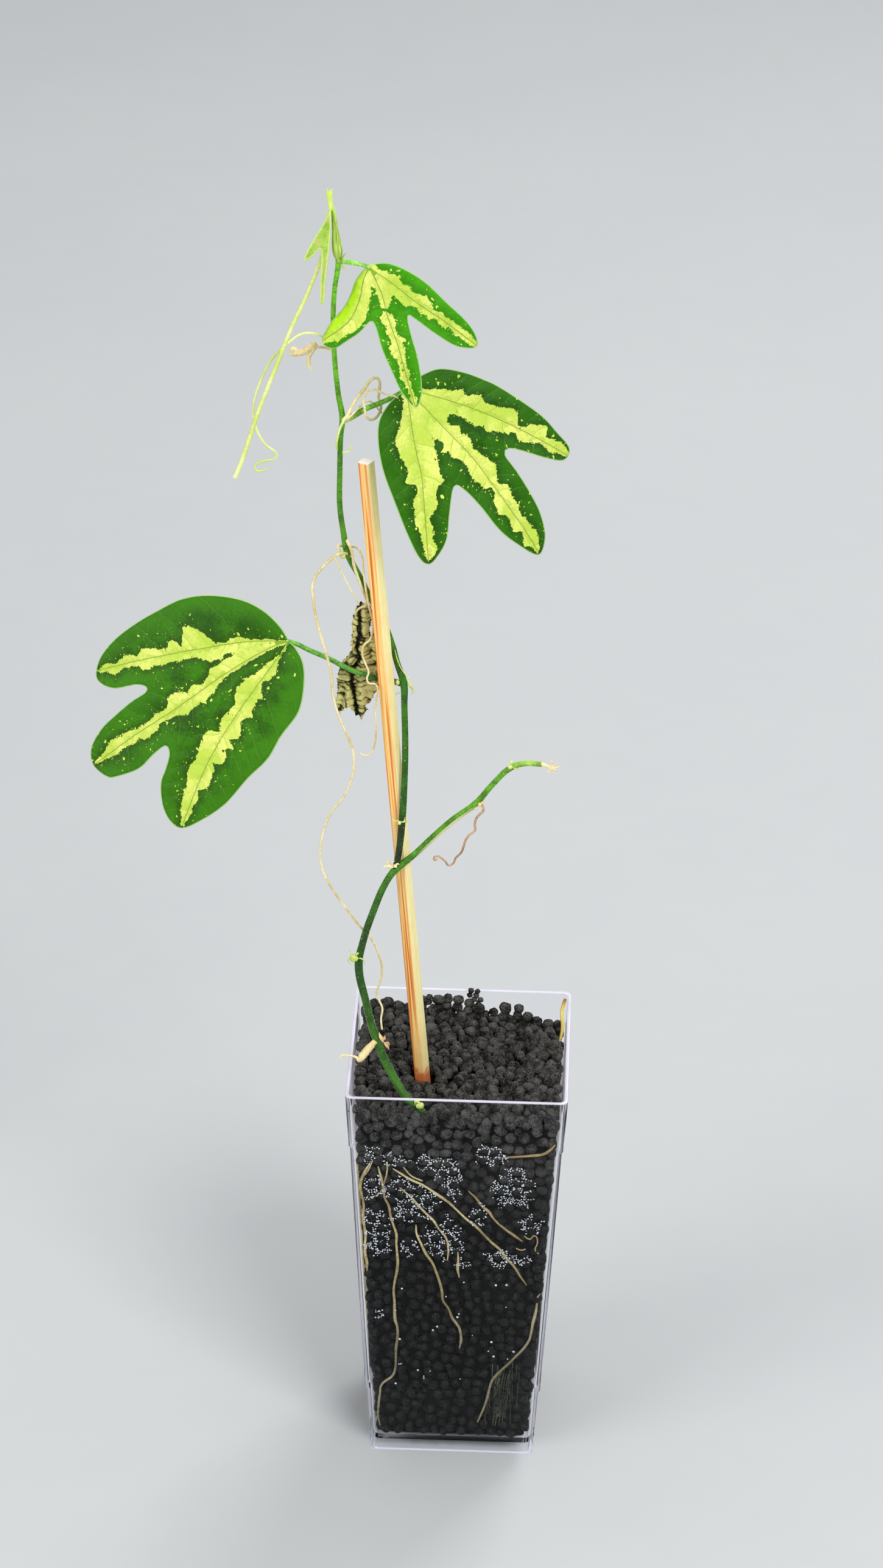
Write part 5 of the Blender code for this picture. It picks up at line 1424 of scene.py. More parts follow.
def crumple(x, z, seed):
    """Depth of the crumpled sheet in millimetres: long folds, cross wrinkles and fine creases."""
    sway = noise.noise(Vector((x * 0.25, z * 0.1, seed)))
    long_fold = math.sin(x * 1.3 + 4.0 * sway + seed) * FOLD_DEPTH
    cross = abs(2 * noise.noise(Vector((x * 0.3 + sway, z * 0.75, seed + 5.0))))
    slant = abs(2 * noise.noise(Vector((x * 0.5 + z * 0.2, z * 0.9 - x * 0.4, seed + 7.0))))
    fine = abs(2 * noise.noise(Vector((x * 1.2, z * 2.4, seed + 9.0))))
    plates = (min(cross, 0.45) - 0.3) * 3.4 + (min(slant, 0.4) - 0.3) * 1.6 + (fine - 0.4) * 0.4
    gutter = math.exp(-((x - np.interp(-z, *GUTTER)) / GUTTER_HALF_WIDTH) ** 2)
    wrinkles = plates - 2.2 * gutter
    return long_fold + wrinkles * WRINKLE_DEPTH, wrinkles


def crumpled_sheet(name, seed, depth, shrink):
    """One crumpled sheet at a depth behind the front, with its height kept as an attribute for painted
    light and shade.
    """
    outline = smooth_line(DRIED_OUTLINE, SHEET_STEP, closed=True)
    for corner in outline:
        corner += EDGE_TEAR * np.array([noise.noise(Vector((*corner * 2.3, seed))),
                                        noise.noise(Vector((*corner * 2.3, seed + 3)))])
    outline *= shrink
    points, faces = triangles(outline, rows_inside(outline, SHEET_STEP, 0.5))
    relief = [crumple(x, z, seed) for x, z in points]
    x0, y0, z0 = DRIED_BASE
    places = [at((x0 + x, y0 + depth - height, z0 + z))
              for (x, z), (height, wrinkle) in zip(points, relief)]
    sheet = mesh_piece(name, places, faces)
    # The wrinkle height, which the finish turns into painted light on the ridges and painted shade in the
    # hollows.
    keep_measure(sheet, "ridge", [wrinkle for height, wrinkle in relief])
    sheet.data.shade_smooth()
    apply_modifier(sheet, "SOLIDIFY", thickness=SHEET_THICKNESS * MM, offset=0.0)
    return sheet


print("crumpled sheet helpers ready")

# %% The two crumpled sheets
withered, shader, place = new_material("withered_leaf", roughness=0.75, Specular_IOR_Level=0.25)
tone = mottle(place, 0.4, 2.0, 0.5)
# Painted light and shade: raised wrinkles are painted pale and hollows near-black, mixed with the leaf's
# own mottled olive tone.
painted_relief_light_and_tone = plus(measure(place, "ridge"), times(minus(tone, 0.5), 1.6))
paint(shader, colour_steps(remap(painted_relief_light_and_tone, -1.9, 1.3), [
    (0.0, (14, 13, 8)), (0.3, (52, 50, 24)), (0.45, (128, 124, 64)), (0.6, (176, 170, 98)),
    (0.85, (218, 210, 140))]))
bump_onto(shader, noise_value(place, 2.2, 4.0), 0.4, 0.8)
crumpled = joined("dried_leaf_crumpled", [
    crumpled_sheet("sheet", 1.3, 0.0, 1.0), crumpled_sheet("sheet", 6.1, 1.4, 0.93)])
keep_piece(crumpled, withered, "dried_olive", "dried_leaf")
print(crumpled.name, len(crumpled.data.polygons), "faces")

# %% [markdown]
# ## The bamboo stake
# The stake is a square splinter of bamboo. A square is pushed up along the lean and its edges are
# softened. Its outer face is orange with darker fibre bundles that run the full length. The face
# cut through the wall is cream. Damp soil has stained the foot.

# %% The stake
STAKE_SIDE = 3.2
STAKE_TURN = math.radians(-27.0)
STAKE_AT_SOIL = Vector((-9.9, -7.5, 113.0))
STAKE_TOP = Vector((-26.3, -9.2, 298.5))
STAKE_FOOT_Z = 20.0
STAKE_SOFTNESS = 0.22

lean = (STAKE_TOP - STAKE_AT_SOIL) / (STAKE_TOP.z - STAKE_AT_SOIL.z)
foot = STAKE_AT_SOIL + lean * (STAKE_FOOT_Z - STAKE_AT_SOIL.z)
bpy.ops.mesh.primitive_plane_add(size=STAKE_SIDE * MM)
stake = bpy.context.object
stake.name = "bamboo_stake_split"
square_turn = Matrix.Rotation(STAKE_TURN, 3, "Z")
for corner in stake.data.vertices:
    corner.co = square_turn @ corner.co + at(foot)
bpy.ops.object.mode_set(mode="EDIT")
bpy.ops.mesh.select_all(action="SELECT")
bpy.ops.mesh.extrude_region_move(
    TRANSFORM_OT_translate={"value": lean * (STAKE_TOP.z - STAKE_FOOT_Z) * MM})
bpy.ops.mesh.select_all(action="SELECT")
bpy.ops.mesh.normals_make_consistent(inside=False)
bpy.ops.mesh.bevel(offset=STAKE_SOFTNESS * MM, segments=2, affect="EDGES")
bpy.ops.object.mode_set(mode="OBJECT")
bpy.ops.object.shade_smooth_by_angle(angle=SMOOTH_ANGLE)

print(stake.name, len(stake.data.polygons), "faces")

# %% Fibres across the stake
bamboo, shader, place = new_material("split_bamboo", roughness=0.5, Specular_IOR_Level=0.4)
height = height_of(place)
middle = at(STAKE_AT_SOIL) / MM


def across_stake(direction):
    """Distance from the stake's middle along one of its sides."""
    slope = -(lean.x * direction[0] + lean.y * direction[1])
    along = node_on("VectorMath", {0: place, 1: (*direction, slope)},
                     operation="DOT_PRODUCT").outputs["Value"]
    start = middle.x * direction[0] + middle.y * direction[1] + middle.z * slope
    return minus(along, start)


to_right = across_stake((math.cos(STAKE_TURN), math.sin(STAKE_TURN)))
to_back = across_stake((-math.sin(STAKE_TURN), math.cos(STAKE_TURN)))
fibre_place = node_on("CombineXYZ", {"X": to_right, "Y": to_back, "Z": times(height, 0.012)}).outputs[0]
fibres = noise_value(fibre_place, 2.3, 0.0)
fine_fibres = noise_value(fibre_place, 5.5, 2.0)
stripe = plus(times(fibres, 0.75), times(fine_fibres, 0.25))
print("fibres ready")

# %% Bamboo colours
rind = colour_steps(stripe, [
    (0.38, (214, 112, 34)), (0.45, (234, 146, 60)), (0.51, (250, 190, 100)), (0.6, (255, 214, 136))])
heart = colour_steps(fine_fibres, [(0.35, (250, 224, 148)), (0.6, (255, 248, 184))])
paler = blend_colour(remap(to_right, 0.1, 1.5, 0.0, 0.6), rind, heart)
wood = blend_colour(remap(to_right, 1.45, 1.58), paler, heart)
flush = remap(mottle(place, 0.05, 0.4), 0.4, 0.62, 0.0, 0.18)
wood = blend_colour(flush, wood, (232, 150, 78))
stain = plus(height, times(noise_value(place, 0.7, 2.0), -6.0))
wood = blend_colour(remap(stain, 111.5, 115.5, 0.85, 0.0), wood, (196, 84, 34))
edge_line = remap(to_right, -1.52, -1.38, 0.6, 0.0)
edge_line = times(edge_line, remap(height, 240.0, 200.0))
wood = blend_colour(edge_line, wood, (120, 62, 34))
paint(shader, blend_colour(remap(height, 298.0, 298.4, 0.0, 0.9), wood, (250, 246, 238)))
bump_onto(shader, fine_fibres, 0.12, 0.6)
keep_piece(stake, bamboo, "bamboo", "bamboo_stake")
print(bamboo.name, "on", stake.name)

# %% [markdown]
# ## The clear pot
# The pot is moulded in one piece of clear plastic, and a mould gives it everything: a taper so
# that it slides out, a stacking step, a collar below the rim, rounded corners and a raised floor
# with drain holes. It can be built the same way, as one square that is pushed and scaled along
# the profile, from the underside of the floor, around the foot, up the outside, over the rim and
# down the inside to the top of the floor.

# %% Pot sizes and profile
POT_HEIGHT = 120.0
RIM_HALF_WIDTH = 30.0
FOOT_HALF_WIDTH = 23.6
WALL = 1.0
COLLAR_DEPTH = 16.5
COLLAR_STEP = 0.35
STACK_STEP_Z = 22.0
STACK_STEP = 0.85
FLOOR_UNDERSIDE = 3.6
FLOOR_TOP = 4.8
POT_CORNER = 1.7
DRAIN_HOLE_RADIUS = 2.2
DRAIN_HOLE_OFFSET = 12.0


def outer_half(z):
    """Half the pot's outer width at a height, without its collar and its step."""
    return FOOT_HALF_WIDTH + (RIM_HALF_WIDTH - FOOT_HALF_WIDTH) * z / POT_HEIGHT


def inner_half(z):
    """Half the pot's inner width at a height."""
    return outer_half(z) - (COLLAR_STEP if z > STACK_STEP_Z else STACK_STEP) - WALL


collar_z = POT_HEIGHT - COLLAR_DEPTH
POT_PROFILE = [
    (0.5, outer_half(0) - STACK_STEP - 1.25), (0.0, outer_half(0) - STACK_STEP - 0.95),
    (0.0, outer_half(0) - STACK_STEP - 0.3), (0.35, outer_half(0) - STACK_STEP),
    (STACK_STEP_Z - 0.5, outer_half(STACK_STEP_Z) - STACK_STEP),
    (STACK_STEP_Z, outer_half(STACK_STEP_Z) - COLLAR_STEP - 0.1),
    (STACK_STEP_Z + 0.4, outer_half(STACK_STEP_Z) - COLLAR_STEP),
    (collar_z - 0.4, outer_half(collar_z) - COLLAR_STEP), (collar_z, outer_half(collar_z)),
    (POT_HEIGHT - 0.4, outer_half(POT_HEIGHT) - 0.02), (POT_HEIGHT - 0.1, RIM_HALF_WIDTH - 0.12),
    (POT_HEIGHT, RIM_HALF_WIDTH - 0.35), (POT_HEIGHT, RIM_HALF_WIDTH - 0.7),
    (POT_HEIGHT - 0.25, RIM_HALF_WIDTH - 0.98), (collar_z + 0.4, outer_half(collar_z) - WALL),
    (collar_z - 0.8, inner_half(collar_z)), (STACK_STEP_Z + 1.4, inner_half(STACK_STEP_Z + 1.4)),
    (STACK_STEP_Z + 0.6, inner_half(STACK_STEP_Z) + 0.1), (FLOOR_TOP + 2.0, inner_half(FLOOR_TOP)),
    (FLOOR_TOP + 0.5, inner_half(FLOOR_TOP) - 0.5), (FLOOR_TOP, inner_half(FLOOR_TOP) - 1.8),
]
print(len(POT_PROFILE), "steps along the pot's profile")

# %% The moulded shell
start_half = outer_half(0) - STACK_STEP - 1.3
pick()
bpy.ops.mesh.primitive_plane_add(size=2 * start_half * MM)
pot = bpy.context.object
pot.name = "clear_pot_moulded"
for corner in pot.data.vertices:
    corner.co.z = FLOOR_UNDERSIDE * MM
bpy.ops.object.mode_set(mode="EDIT")
bpy.ops.mesh.select_all(action="SELECT")
bpy.ops.mesh.bevel(offset=(POT_CORNER - 0.4) * MM, segments=5, affect="VERTICES")
bpy.ops.mesh.select_all(action="SELECT")
z_now, half_now = FLOOR_UNDERSIDE, start_half
for z_next, half_next in POT_PROFILE:
    bpy.ops.mesh.extrude_region_move(TRANSFORM_OT_translate={"value": (0, 0, (z_next - z_now) * MM)})
    grow = half_next / half_now
    bpy.ops.transform.resize(value=(grow, grow, 1.0), center_override=(0, 0, 0))
    z_now, half_now = z_next, half_next
bpy.ops.mesh.select_all(action="SELECT")
bpy.ops.mesh.normals_make_consistent(inside=False)
bpy.ops.object.mode_set(mode="OBJECT")
for corner in pot.data.vertices:
    corner.co.x += POT_OFFSET * MM
print(pot.name, len(pot.data.polygons), "faces")

# %% Drain holes
drills = []
for dx, dy in [(0, 0), (1, 1), (1, -1), (-1, 1), (-1, -1)]:
    bpy.ops.mesh.primitive_cylinder_add(
        vertices=32, radius=DRAIN_HOLE_RADIUS * MM, depth=4 * MM,
        location=at((dx * DRAIN_HOLE_OFFSET, dy * DRAIN_HOLE_OFFSET, (FLOOR_UNDERSIDE + FLOOR_TOP) / 2)))
    bpy.ops.object.transform_apply(location=True)
    drills.append(bpy.context.object)
drill = joined("drills", drills)
apply_modifier(pot, "BOOLEAN", operation="DIFFERENCE", object=drill, solver="EXACT")
bpy.data.objects.remove(drill, do_unlink=True)
pick(pot)
bpy.ops.object.shade_smooth_by_angle(angle=SMOOTH_ANGLE)
print(len(drills), "drain holes")

# %% [markdown]
# ### Clear plastic
# The thin wall bends light very little, so its index is low. Light that only passes on its way to
# the granules goes straight through, which a true glass would make noisy. Moulded edges, and the
# wall seen along its length, get a pale milky finish: a painted highlight for the bright edges
# that clear plastic shows.

# %% Clear plastic
clear_plastic, shader, place = new_material("clear_plastic_shell", roughness=0.03, IOR=1.14)
paint(shader, (0.97, 0.98, 1.0, 1.0))
shader.inputs["Transmission Weight"].default_value = 1.0
shader.inputs["Metallic"].default_value = 0.0
scuffs = mottle(place, 0.08, 0.9, 0.4)
feed(shader.inputs["Roughness"], remap(scuffs, 0.5, 0.7, 0.02, 0.1))
bump_onto(shader, noise_value(place, 0.05, 1.0), 0.5, 0.15)
tree = clear_plastic.node_tree
rays = add_node(tree, "LightPath").outputs
lets_light_in = larger(rays["Is Shadow Ray"], rays["Is Diffuse Ray"])
see_through = add_node(tree, "BsdfTransparent", {"Color": (0.96, 0.97, 0.98, 1.0)})
# Painted highlight: a pale, softly lit finish where the wall is seen edge-on, on the rim's top and under
# the foot, standing in for the bright edges of clear plastic.
edge_highlight_finish = add_node(tree, "BsdfPrincipled", {
    "Base Color": (232, 228, 244), "Roughness": 0.35, "Subsurface Weight": 0.4,
    "Subsurface Scale": 0.002})
grazing = add_node(tree, "LayerWeight", {"Blend": 0.5}).outputs["Facing"]
height = height_of(place)
edge_highlight_share = larger(remap(grazing, 0.8, 0.97, 0.0, 0.75), remap(height, 119.5, 119.8, 0.0, 0.8))
edge_highlight_share = larger(edge_highlight_share, remap(height, 0.7, 0.3, 0.0, 0.7))
wall = node_on("MixShader", {0: edge_highlight_share, 1: shader.outputs[0], 2: edge_highlight_finish.outputs[0]})
either = node_on("MixShader", {0: lets_light_in, 1: wall.outputs[0], 2: see_through.outputs[0]})
feed(tree.nodes["Material Output"].inputs["Surface"], either.outputs[0])
keep_piece(pot, clear_plastic, "clear_plastic", "pot")
print(clear_plastic.name, "on", pot.name)

# %% [markdown]
# ## The black granules
# The pot is filled with baked clay-like granules. The imported block stays as the dark heart:
# near-black, partly the granules' own black and partly painted shade for the depths of the gaps.
# Loose granules cover it where they can be seen: against the four walls and on top. A few lumpy
# models are made once. Copies are turned, scaled and scattered so that they almost touch, the
# largest first, which is how a poured bed settles. The bed slopes down from the back left corner.

# %% Granule models
granule_texture = bpy.data.textures.new("granule_lumps", "CLOUDS")
granule_texture.noise_scale = 0.9


def granule_model(stretch):
    """One lumpy granule with a radius of about one."""
    pick()
    bpy.ops.mesh.primitive_ico_sphere_add(subdivisions=2, radius=1.0)
    ball = bpy.context.object
    for corner in ball.data.vertices:
        corner.co = Vector([c * s for c, s in zip(corner.co, stretch)])
    apply_modifier(ball, "DISPLACE", texture=granule_texture, texture_coords="LOCAL",
                   strength=0.5, mid_level=0.5)
    points = np.array([tuple(v.co) for v in ball.data.vertices])
    faces = [tuple(p.vertices) for p in ball.data.polygons]
    bpy.data.objects.remove(ball, do_unlink=True)
    return points, faces


granule_models = [granule_model(stretch) for stretch in [
    (1.0, 0.94, 0.9), (1.12, 0.92, 0.84), (0.95, 1.04, 1.0)]]
print(len(granule_models), "granule models")

# %% Scattering helpers
SOIL_TOP = {"front_left": 112.5, "front_right": 111.5, "back_right": 110.0, "back_left": 116.0}
GRANULE_SIZES = (1.15, 1.95)
USUAL_SIZE = 1.45
TRIES = 30
CLOSENESS = 0.84
SCATTER_CELL = 4.0
TOP_HALF = inner_half(113.0)


def scattered(width, bottom, top, amount):
    """Places (u, v, radius) on a flat area, almost touching, the largest first."""
    radii = sorted((random.triangular(*GRANULE_SIZES, USUAL_SIZE) for _ in range(amount)), reverse=True)
    placed, cells = [], {}
    for radius in radii:
        for _ in range(TRIES):
            u, v = random.uniform(-width, width), random.uniform(bottom, top)
            column, row = int(u // SCATTER_CELL), int(v // SCATTER_CELL)
            near = [p for i in (-1, 0, 1) for j in (-1, 0, 1) for p in cells.get((column + i, row + j), ())]
            if all((u - p[0]) ** 2 + (v - p[1]) ** 2 > (CLOSENESS * (radius + p[2])) ** 2 for p in near):
                placed.append((u, v, radius))
                cells.setdefault((column, row), []).append(placed[-1])
                break
    return placed


def soil_height(x, y):
    """Height of the bed, blended between the four corners."""
    u, v = (x + TOP_HALF) / (2 * TOP_HALF), (y + TOP_HALF) / (2 * TOP_HALF)
    front = SOIL_TOP["front_left"] * (1 - u) + SOIL_TOP["front_right"] * u
    back = SOIL_TOP["back_left"] * (1 - u) + SOIL_TOP["back_right"] * u
    return front * (1 - v) + back * v


def granule_bed(name, granules):
    """Many turned and scaled copies of the models, merged into one piece."""
    points, faces, count = [], [], 0
    for centre, radius in granules:
        model_points, model_faces = random.choice(granule_models)
        spin = Matrix.Rotation(random.uniform(0, 6.28), 3, (random.random(), random.random(), 1))
        size = radius * MM / 0.97
        points.append(model_points @ np.array(spin) * size + np.array(at(centre)))
        faces += [tuple(i + count for i in face) for face in model_faces]
        count += len(model_points)
    bed = mesh_piece(name, np.vstack(points).tolist(), faces)
    bed.data.shade_smooth()
    return bed


print("scattering helpers ready")

# %% [markdown]
# The granules above about ninety millimetres are dry, rough and dark grey. Below that they are
# wet, so they are nearly black and shine a little.

# %% Granule material
granule_black, shader, place = new_material("granule_black", roughness=0.8, Specular_IOR_Level=0.16)
height = height_of(place)
damp_line = plus(height, times(noise_value(place, 0.12, 2.0), 24.0))
dryness = remap(damp_line, 88.0, 126.0)
tone = mottle(place, 0.35, 2.4, 0.5)
wet = blend_colour(remap(tone, 0.4, 0.65), (0, 0, 0), (14, 14, 13))
dry = blend_colour(remap(tone, 0.38, 0.66), (12, 12, 11), (90, 88, 84))
dust = flecks(place, 1.3, 0.16, 0.25)
dry = blend_colour(times(dust, 0.4), dry, (130, 126, 118))
paint(shader, blend_colour(dryness, wet, dry))
feed(shader.inputs["Roughness"], remap(dryness, 0.0, 1.0, 0.45, 0.8))
bump_onto(shader, noise_value(place, 1.6, 4.0), 0.5, 0.9)
# Painted shade: the block behind the loose granules is near-black, partly their own black and partly the
# shade deep in the gaps between them.
gaps_own_black_and_shade, shader, place = new_material("granule_gaps_black_and_shade", roughness=0.95, Specular_IOR_Level=0.05)
paint(shader, blend_colour(mottle(place, 0.3, 1.5), (2, 2, 2), (12, 12, 11)))
core = bpy.data.objects["substrate"]
core.data.materials.clear()
core.data.materials.append(gaps_own_black_and_shade)
print("granule materials ready")

# %% [markdown]
# ### Four walls of granules and a bed on top
# Each wall gets a single layer of granules that nearly touch the plastic. The top gets two layers,
# kept clear of the stake, the old stem and the corner root. A ridge of larger granules, listed one
# by one, is heaped against the back wall.

# %% Granules on the walls
WALL_AMOUNT = 1500
WALL_LAYER_TOP = 115.0
WALL_TURNS = {"front": 0, "right": 90, "back": 180, "left": 270}
wall_granules = {}
for side, degrees in WALL_TURNS.items():
    spin = Matrix.Rotation(math.radians(degrees), 3, "Z")
    granules = []
    for u, z, radius in scattered(inner_half(100.0) - 0.9, FLOOR_TOP + 1.2, WALL_LAYER_TOP, WALL_AMOUNT):
        reach = inner_half(z)
        here = spin @ Vector((u, -(reach - 1.0), z))
        if abs(u) > reach - radius * 0.9 or z > soil_height(here.x, here.y) - radius * 0.4:
            continue
        centre = spin @ Vector((u, -(reach - radius * 1.06 - 0.12 - random.uniform(0.0, 0.35)), z))
        granules.append((tuple(centre), radius))
    wall_granules[side] = granules
    bed = granule_bed("granules_" + side, granules)
    keep_piece(bed, granule_black, "black_granules")
    print(bed.name, len(granules), "granules")

# %% Granules on top
BACK_WALL_Y = 28.0
TOP_LAYERS = [(0.9, 1100), (-0.3, 900)]
BACK_RIDGE = [
    (-20.8, 117.0, 1.65), (-17.8, 115.6, 1.2), (-16.1, 114.6, 1.75), (-13.6, 117.4, 1.3),
    (-11.0, 117.8, 1.2), (-9.4, 118.6, 1.0), (-6.8, 118.2, 1.65), (-4.2, 118.6, 1.4), (-1.3, 118.3, 1.55),
    (1.7, 117.3, 1.45), (2.1, 121.0, 0.9), (3.9, 120.8, 0.85), (3.3, 119.4, 0.7), (4.2, 115.8, 1.75),
    (6.4, 113.8, 1.1), (8.5, 114.6, 1.4), (11.8, 116.2, 1.75), (15.5, 116.0, 1.5), (17.9, 113.5, 1.75),
    (20.8, 111.8, 1.4), (23.8, 111.4, 1.5),
]


def in_the_way(x, y, z, radius):
    """True where a granule would cut the stake, the old stem or the corner root."""
    stake_here = STAKE_AT_SOIL + lean * (z - STAKE_AT_SOIL.z)
    posts = [(stake_here.x, stake_here.y, 1.7), (-10.6, -23.3, 1.1), (27.7, 20.6, 0.4)]
    return any(math.hypot(x - px, y - py) < radius + clear for px, py, clear in posts)


top_granules = []
bed_half = TOP_HALF - 1.3
for lift, amount in TOP_LAYERS:
    for x, y, radius in scattered(bed_half, -bed_half, bed_half, amount):
        z = soil_height(x, y) + lift - radius * 0.3 + random.uniform(-0.5, 0.6)
        if not in_the_way(x, y, z, radius):
            top_granules.append(((x, y, z), radius))
for x, z, radius in BACK_RIDGE:
    top_granules.append(((x, BACK_WALL_Y - radius, z), radius))
    for drop in (1.5, 3.0):
        below = (x + 0.8 * drop - 1.5, BACK_WALL_Y - 0.2 - radius, z - radius * drop)
        top_granules.append((below, radius))
top_bed = granule_bed("granules_top", top_granules)
keep_piece(top_bed, granule_black, "black_granules")
print(top_bed.name, len(top_granules), "granules")

# %% [markdown]
# ## Roots against the wall
# Roots grow to the clear wall and run down it. Each is a long uneven thread laid just inside the
# wall. The thick ones thin at both ends. A few fine ones branch beside them. Low on the
# right, a few dozen threads as thin as hair hang close together and look like a grey film.

# %% Roots
WALL_ROOTS = [
    [(26.6, 105.6), (25.6, 104.2), (23.5, 102.5), (18.1, 101.5), (12.6, 100.9)],
    [(3.7, 89.5), (7.4, 84.8), (10.6, 80.8), (12.2, 78.4), (14.5, 76.6), (18.4, 73.2)],
    [(-17.2, 96.2), (-11.7, 92.6), (-4.4, 87.8), (5.7, 77.6), (14.2, 67.7), (20.0, 58.4)],
    [(-15.0, 90.0), (-9.8, 84.0), (-4.4, 77.0), (-1.5, 70.6), (-1.7, 66.0)],
    [(-10.8, 77.6), (-9.2, 71.3), (-4.6, 61.4), (-2.7, 52.3), (2.2, 41.0), (1.7, 36.0)],
    [(-20.8, 96.7), (-19.5, 88.9), (-15.7, 71.0), (-16.5, 51.8), (-15.6, 42.6), (-15.7, 32.3),
     (-16.8, 26.0), (-19.8, 22.6), (-20.6, 15.0), (-20.2, 8.0)],
    [(24.0, 55.6), (23.0, 54.0), (22.4, 48.7), (21.0, 39.4), (15.6, 31.2), (11.4, 25.6),
     (9.6, 18.6), (7.0, 10.2)],
    [(-23.5, 97.6), (-25.6, 92.0), (-25.0, 83.2), (-24.4, 70.7), (-24.0, 61.6)],
    [(0.8, 69.0), (1.4, 60.4)],
]
FINE_ROOTS = [
    [(-18.6, 98.4), (-18.9, 93.0), (-20.4, 88.0), (-22.5, 86.4)],
    [(-22.6, 98.6), (-23.8, 95.2), (-25.4, 92.6)],
    [(19.0, 75.0), (20.6, 74.0), (21.8, 75.2), (22.6, 73.0), (22.2, 70.4), (23.0, 69.2)],
    [(-14.0, 96.8), (-12.0, 93.9), (-9.0, 92.4)],
    [(17.0, 70.8), (18.2, 70.2), (19.6, 70.6)],
]
ROOT_RADIUS = 0.38
ROOT_GAP = 0.12
FILM_THREADS = 60
FILM_RADIUS = 0.08


def wall_route(flat_points, wobble):
    """Lay (x, z) points just inside the front wall, with a small sideways wobble."""
    line = smooth_line(flat_points, 3.2)
    route = []
    for k, (x, z) in enumerate(line):
        side = wobble * math.sin(1.7 * k + x)
        route.append((x + side, -(inner_half(z) - ROOT_GAP - ROOT_RADIUS), z))
    return route


root_skin, shader, place = new_material("root_skin", roughness=0.6)
height = height_of(place)
tone = mottle(place, 0.09, 1.4, 0.4)
light = remap(tone, 0.35, 0.65)
upper = blend_colour(light, (140, 118, 74), (214, 196, 142))
lower = blend_colour(light, (104, 94, 68), (158, 148, 112))
paint(shader, blend_colour(remap(height, 30.0, 70.0), lower, upper))
bump_onto(shader, noise_value(place, 1.8, 3.0), 0.3, 0.8)
for number, flat_points in enumerate(WALL_ROOTS, 1):
    route = wall_route(flat_points, 0.22)
    radii = [ROOT_RADIUS * random.uniform(0.75, 1.15) for _ in route]
    radii[0] = radii[-1] = 0.16
    root = grown_tube(f"wall_root_grown_{number}", route, radii, 2, 5)
    keep_piece(root, root_skin, "root_tan", f"wall_root_{number}")
print(len(WALL_ROOTS), "thick roots")

# %% Fine roots and the film of threads
fine = []
for flat_points in FINE_ROOTS:
    route = wall_route(flat_points, 0.15)
    fine.append(grown_tube("fine", route, [0.2] * len(route), 1, 4))
film = []
for _ in range(FILM_THREADS):
    x, top = random.triangular(9.0, 19.5, 14.0), random.uniform(16.0, 33.0)
    bottom = top - random.uniform(2.5, 9.0)
    film_route = wall_route([(x, top), (x - 0.3, (top + bottom) / 2), (x - 0.5, bottom)], 0.25)
    film.append(grown_tube("thread", film_route, [FILM_RADIUS] * len(film_route), 1, 2))
film_grey = thread_material("root_film", (38, 42, 30), (92, 98, 76), 0.7)
keep_piece(joined("root_film", film), film_grey, "root_tan")
left_root = [(-(inner_half(z) - 0.5), y, z) for y, z in [
    (-25.6, 97.0), (-25.0, 88.0), (-24.2, 76.0), (-24.4, 66.0), (-23.6, 54.0), (-23.0, 44.0)]]
fine.append(grown_tube("fine", left_root, [0.35, 0.4, 0.36, 0.42, 0.34, 0.15], 2, 5))
keep_piece(joined("fine_roots", fine), root_skin, "root_tan")
print(len(fine), "fine roots,", len(film), "threads")

# %% The corner root
corner_skin, shader, place = new_material("corner_root_skin", roughness=0.55)
paint(shader, colour_by_height(place, 112.0, 122.0, [
    (112.0, (214, 184, 88)), (118.0, (240, 224, 130)), (120.0, (226, 186, 84)),
    (121.2, (168, 100, 38))]))
corner_root = grown_tube("corner_root_grown", [
    (28.4, 23.4, 121.4), (28.0, 22.8, 120.4), (27.6, 22.2, 119.0), (27.5, 21.6, 117.2),
    (27.8, 20.8, 114.6), (27.6, 20.0, 112.2), (27.0, 19.0, 110.0)],
    [0.45, 0.5, 0.5, 0.52, 0.5, 0.42, 0.3], 2, 6)
keep_piece(corner_root, corner_skin, "root_tan", "corner_root")
print(corner_root.name, len(corner_root.data.polygons), "faces")

# %% [markdown]
# ## Moisture on the wall
# Water has condensed inside the front wall in the gaps between granules, in clusters, with a few
# single drops lower down. The drops are tiny domes. They fill oval clusters that are given
# as (x, z, half width, half height) and made ragged by noise, except where a granule touches.

# %% Drop sizes and shape
DROP_REACH = 24.5
DROP_JITTER = 0.25
DROP_CHANCE = 0.85
DROP_SPACING = 0.6
DROP_RADIUS = 0.2
DROP_SIDES = 6
DROP_CLUSTERS = [
    (-24.5, 100.5, 4.5, 3.5), (-16.0, 99.5, 4.0, 2.5), (-7.2, 99.4, 4.0, 3.0), (-1.9, 95.7, 3.8, 5.6),
    (0.0, 88.3, 2.2, 2.6), (9.9, 101.9, 5.4, 3.2), (15.8, 90.6, 6.4, 7.6), (-22.9, 89.4, 4.6, 4.0),
    (-14.8, 91.7, 4.2, 3.2), (-9.6, 86.0, 6.2, 5.6), (-21.5, 75.8, 4.2, 8.4), (-19.2, 70.2, 2.6, 2.6),
    (-3.3, 73.6, 6.0, 7.6), (2.5, 65.7, 2.6, 2.0), (14.1, 67.4, 7.2, 3.0), (-12.4, 70.2, 2.8, 3.2),
    (-20.8, 47.5, 2.3, 1.8), (6.3, 81.5, 2.8, 3.8), (20.7, 79.2, 3.8, 3.4), (-14.0, 81.0, 3.6, 3.4),
]
DROP_BAND = (45.0, 106.0)
LOOSE_DROPS = 26


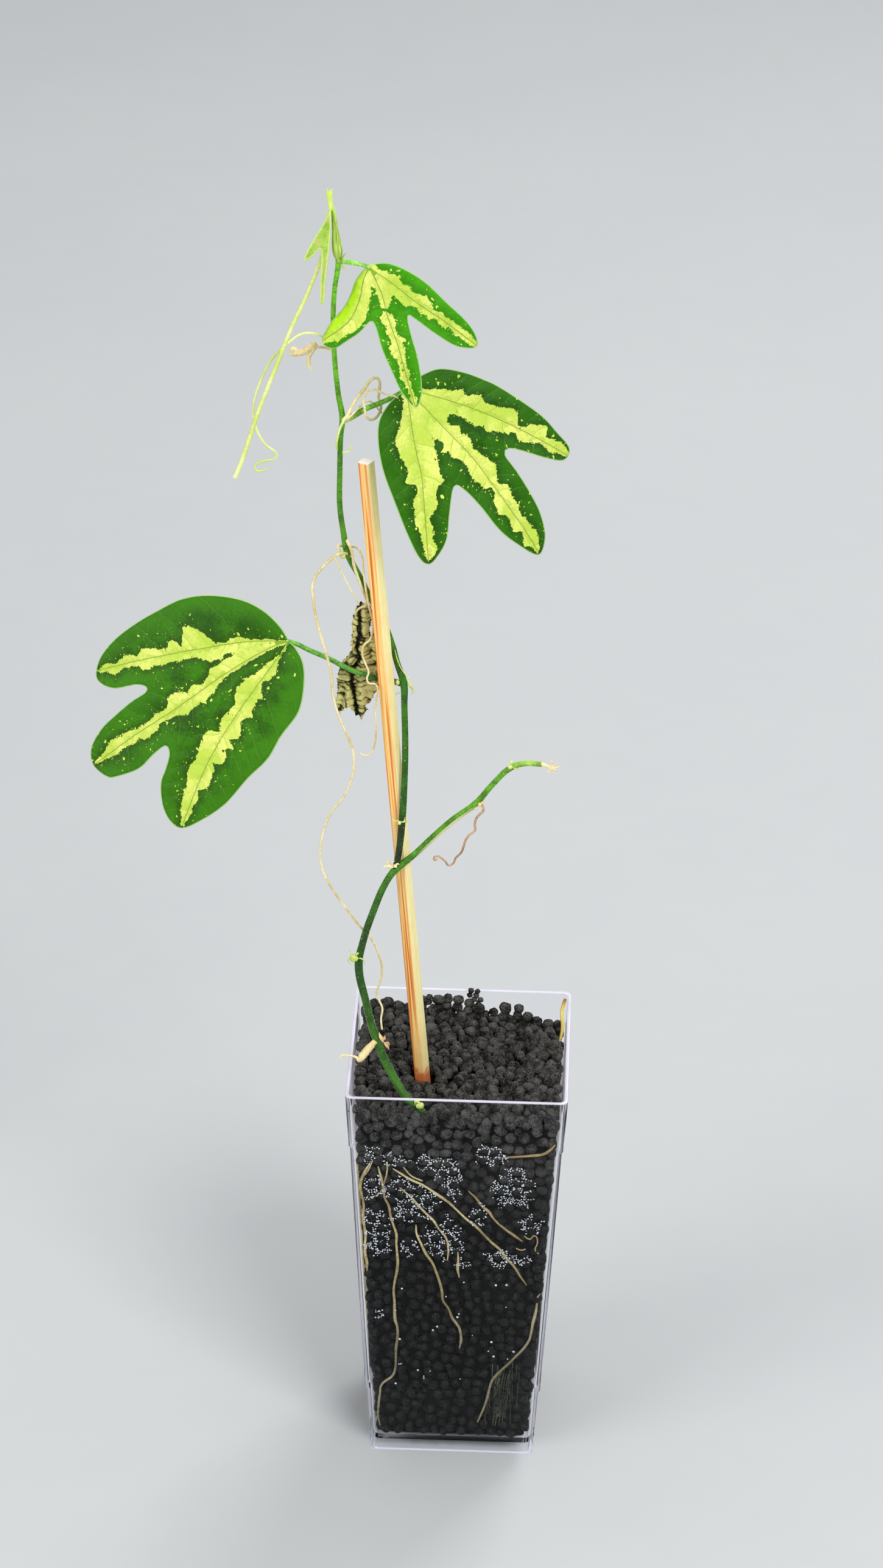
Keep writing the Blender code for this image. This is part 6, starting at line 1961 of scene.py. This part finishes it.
def drop_points(x, z, radius):
    """A low dome on the inside of the front wall."""
    y = -(inner_half(z) - 0.02)
    ring = [at((x + radius * math.cos(2 * math.pi * k / DROP_SIDES), y,
                z + radius * math.sin(2 * math.pi * k / DROP_SIDES))) for k in range(DROP_SIDES)]
    return ring + [at((x, y + radius * 0.6, z)), at((x, y, z))]


def drop_faces(start):
    """The dome's sides and its flat back."""
    top, back = start + DROP_SIDES, start + DROP_SIDES + 1
    faces = []
    for k in range(DROP_SIDES):
        a, b = start + k, start + (k + 1) % DROP_SIDES
        faces += [(b, a, top), (a, b, back)]
    return faces


print(len(DROP_CLUSTERS), "clusters of drops")

# %% Condensation
touches = np.array([(c[0], c[2], r) for c, r in wall_granules["front"]])
points, faces = [], []


def add_drop(x, z, radius):
    """Write one drop into the shared mesh."""
    faces.extend(drop_faces(len(points)))
    points.extend(drop_points(x, z, radius))


z = DROP_BAND[0]
while z < DROP_BAND[1]:
    x = -DROP_REACH
    while x < DROP_REACH:
        px = x + random.uniform(-DROP_JITTER, DROP_JITTER)
        pz = z + random.uniform(-DROP_JITTER, DROP_JITTER)
        inwards = max(1 - math.hypot((px - cx) / rx, (pz - cz) / rz)
                      for cx, cz, rx, rz in DROP_CLUSTERS)
        ragged = 0.5 * noise.noise(Vector((px * 0.35, pz * 0.35, 2.0)))
        clear_of = np.hypot(touches[:, 0] - px, touches[:, 1] - pz) - touches[:, 2] * 0.72
        if inwards + ragged > 0.05 and clear_of.min() > 0 and random.random() < DROP_CHANCE:
            add_drop(px, pz, DROP_RADIUS * random.uniform(0.6, 1.3))
        x += DROP_SPACING
    z += DROP_SPACING
for _ in range(LOOSE_DROPS):
    add_drop(random.uniform(-16, 18), random.uniform(20, 62), DROP_RADIUS * random.uniform(0.8, 1.8))
moisture, shader, place = new_material("moisture", roughness=0.25)
tone = noise_value(place, 1.0, 1.0)
paint(shader, blend_colour(tone, (176, 180, 186), (244, 246, 250)))
drops = mesh_piece("condensation_drops", points, faces)
keep_piece(drops, moisture, "clear_plastic")
print(len(drops.data.polygons), "faces of moisture")
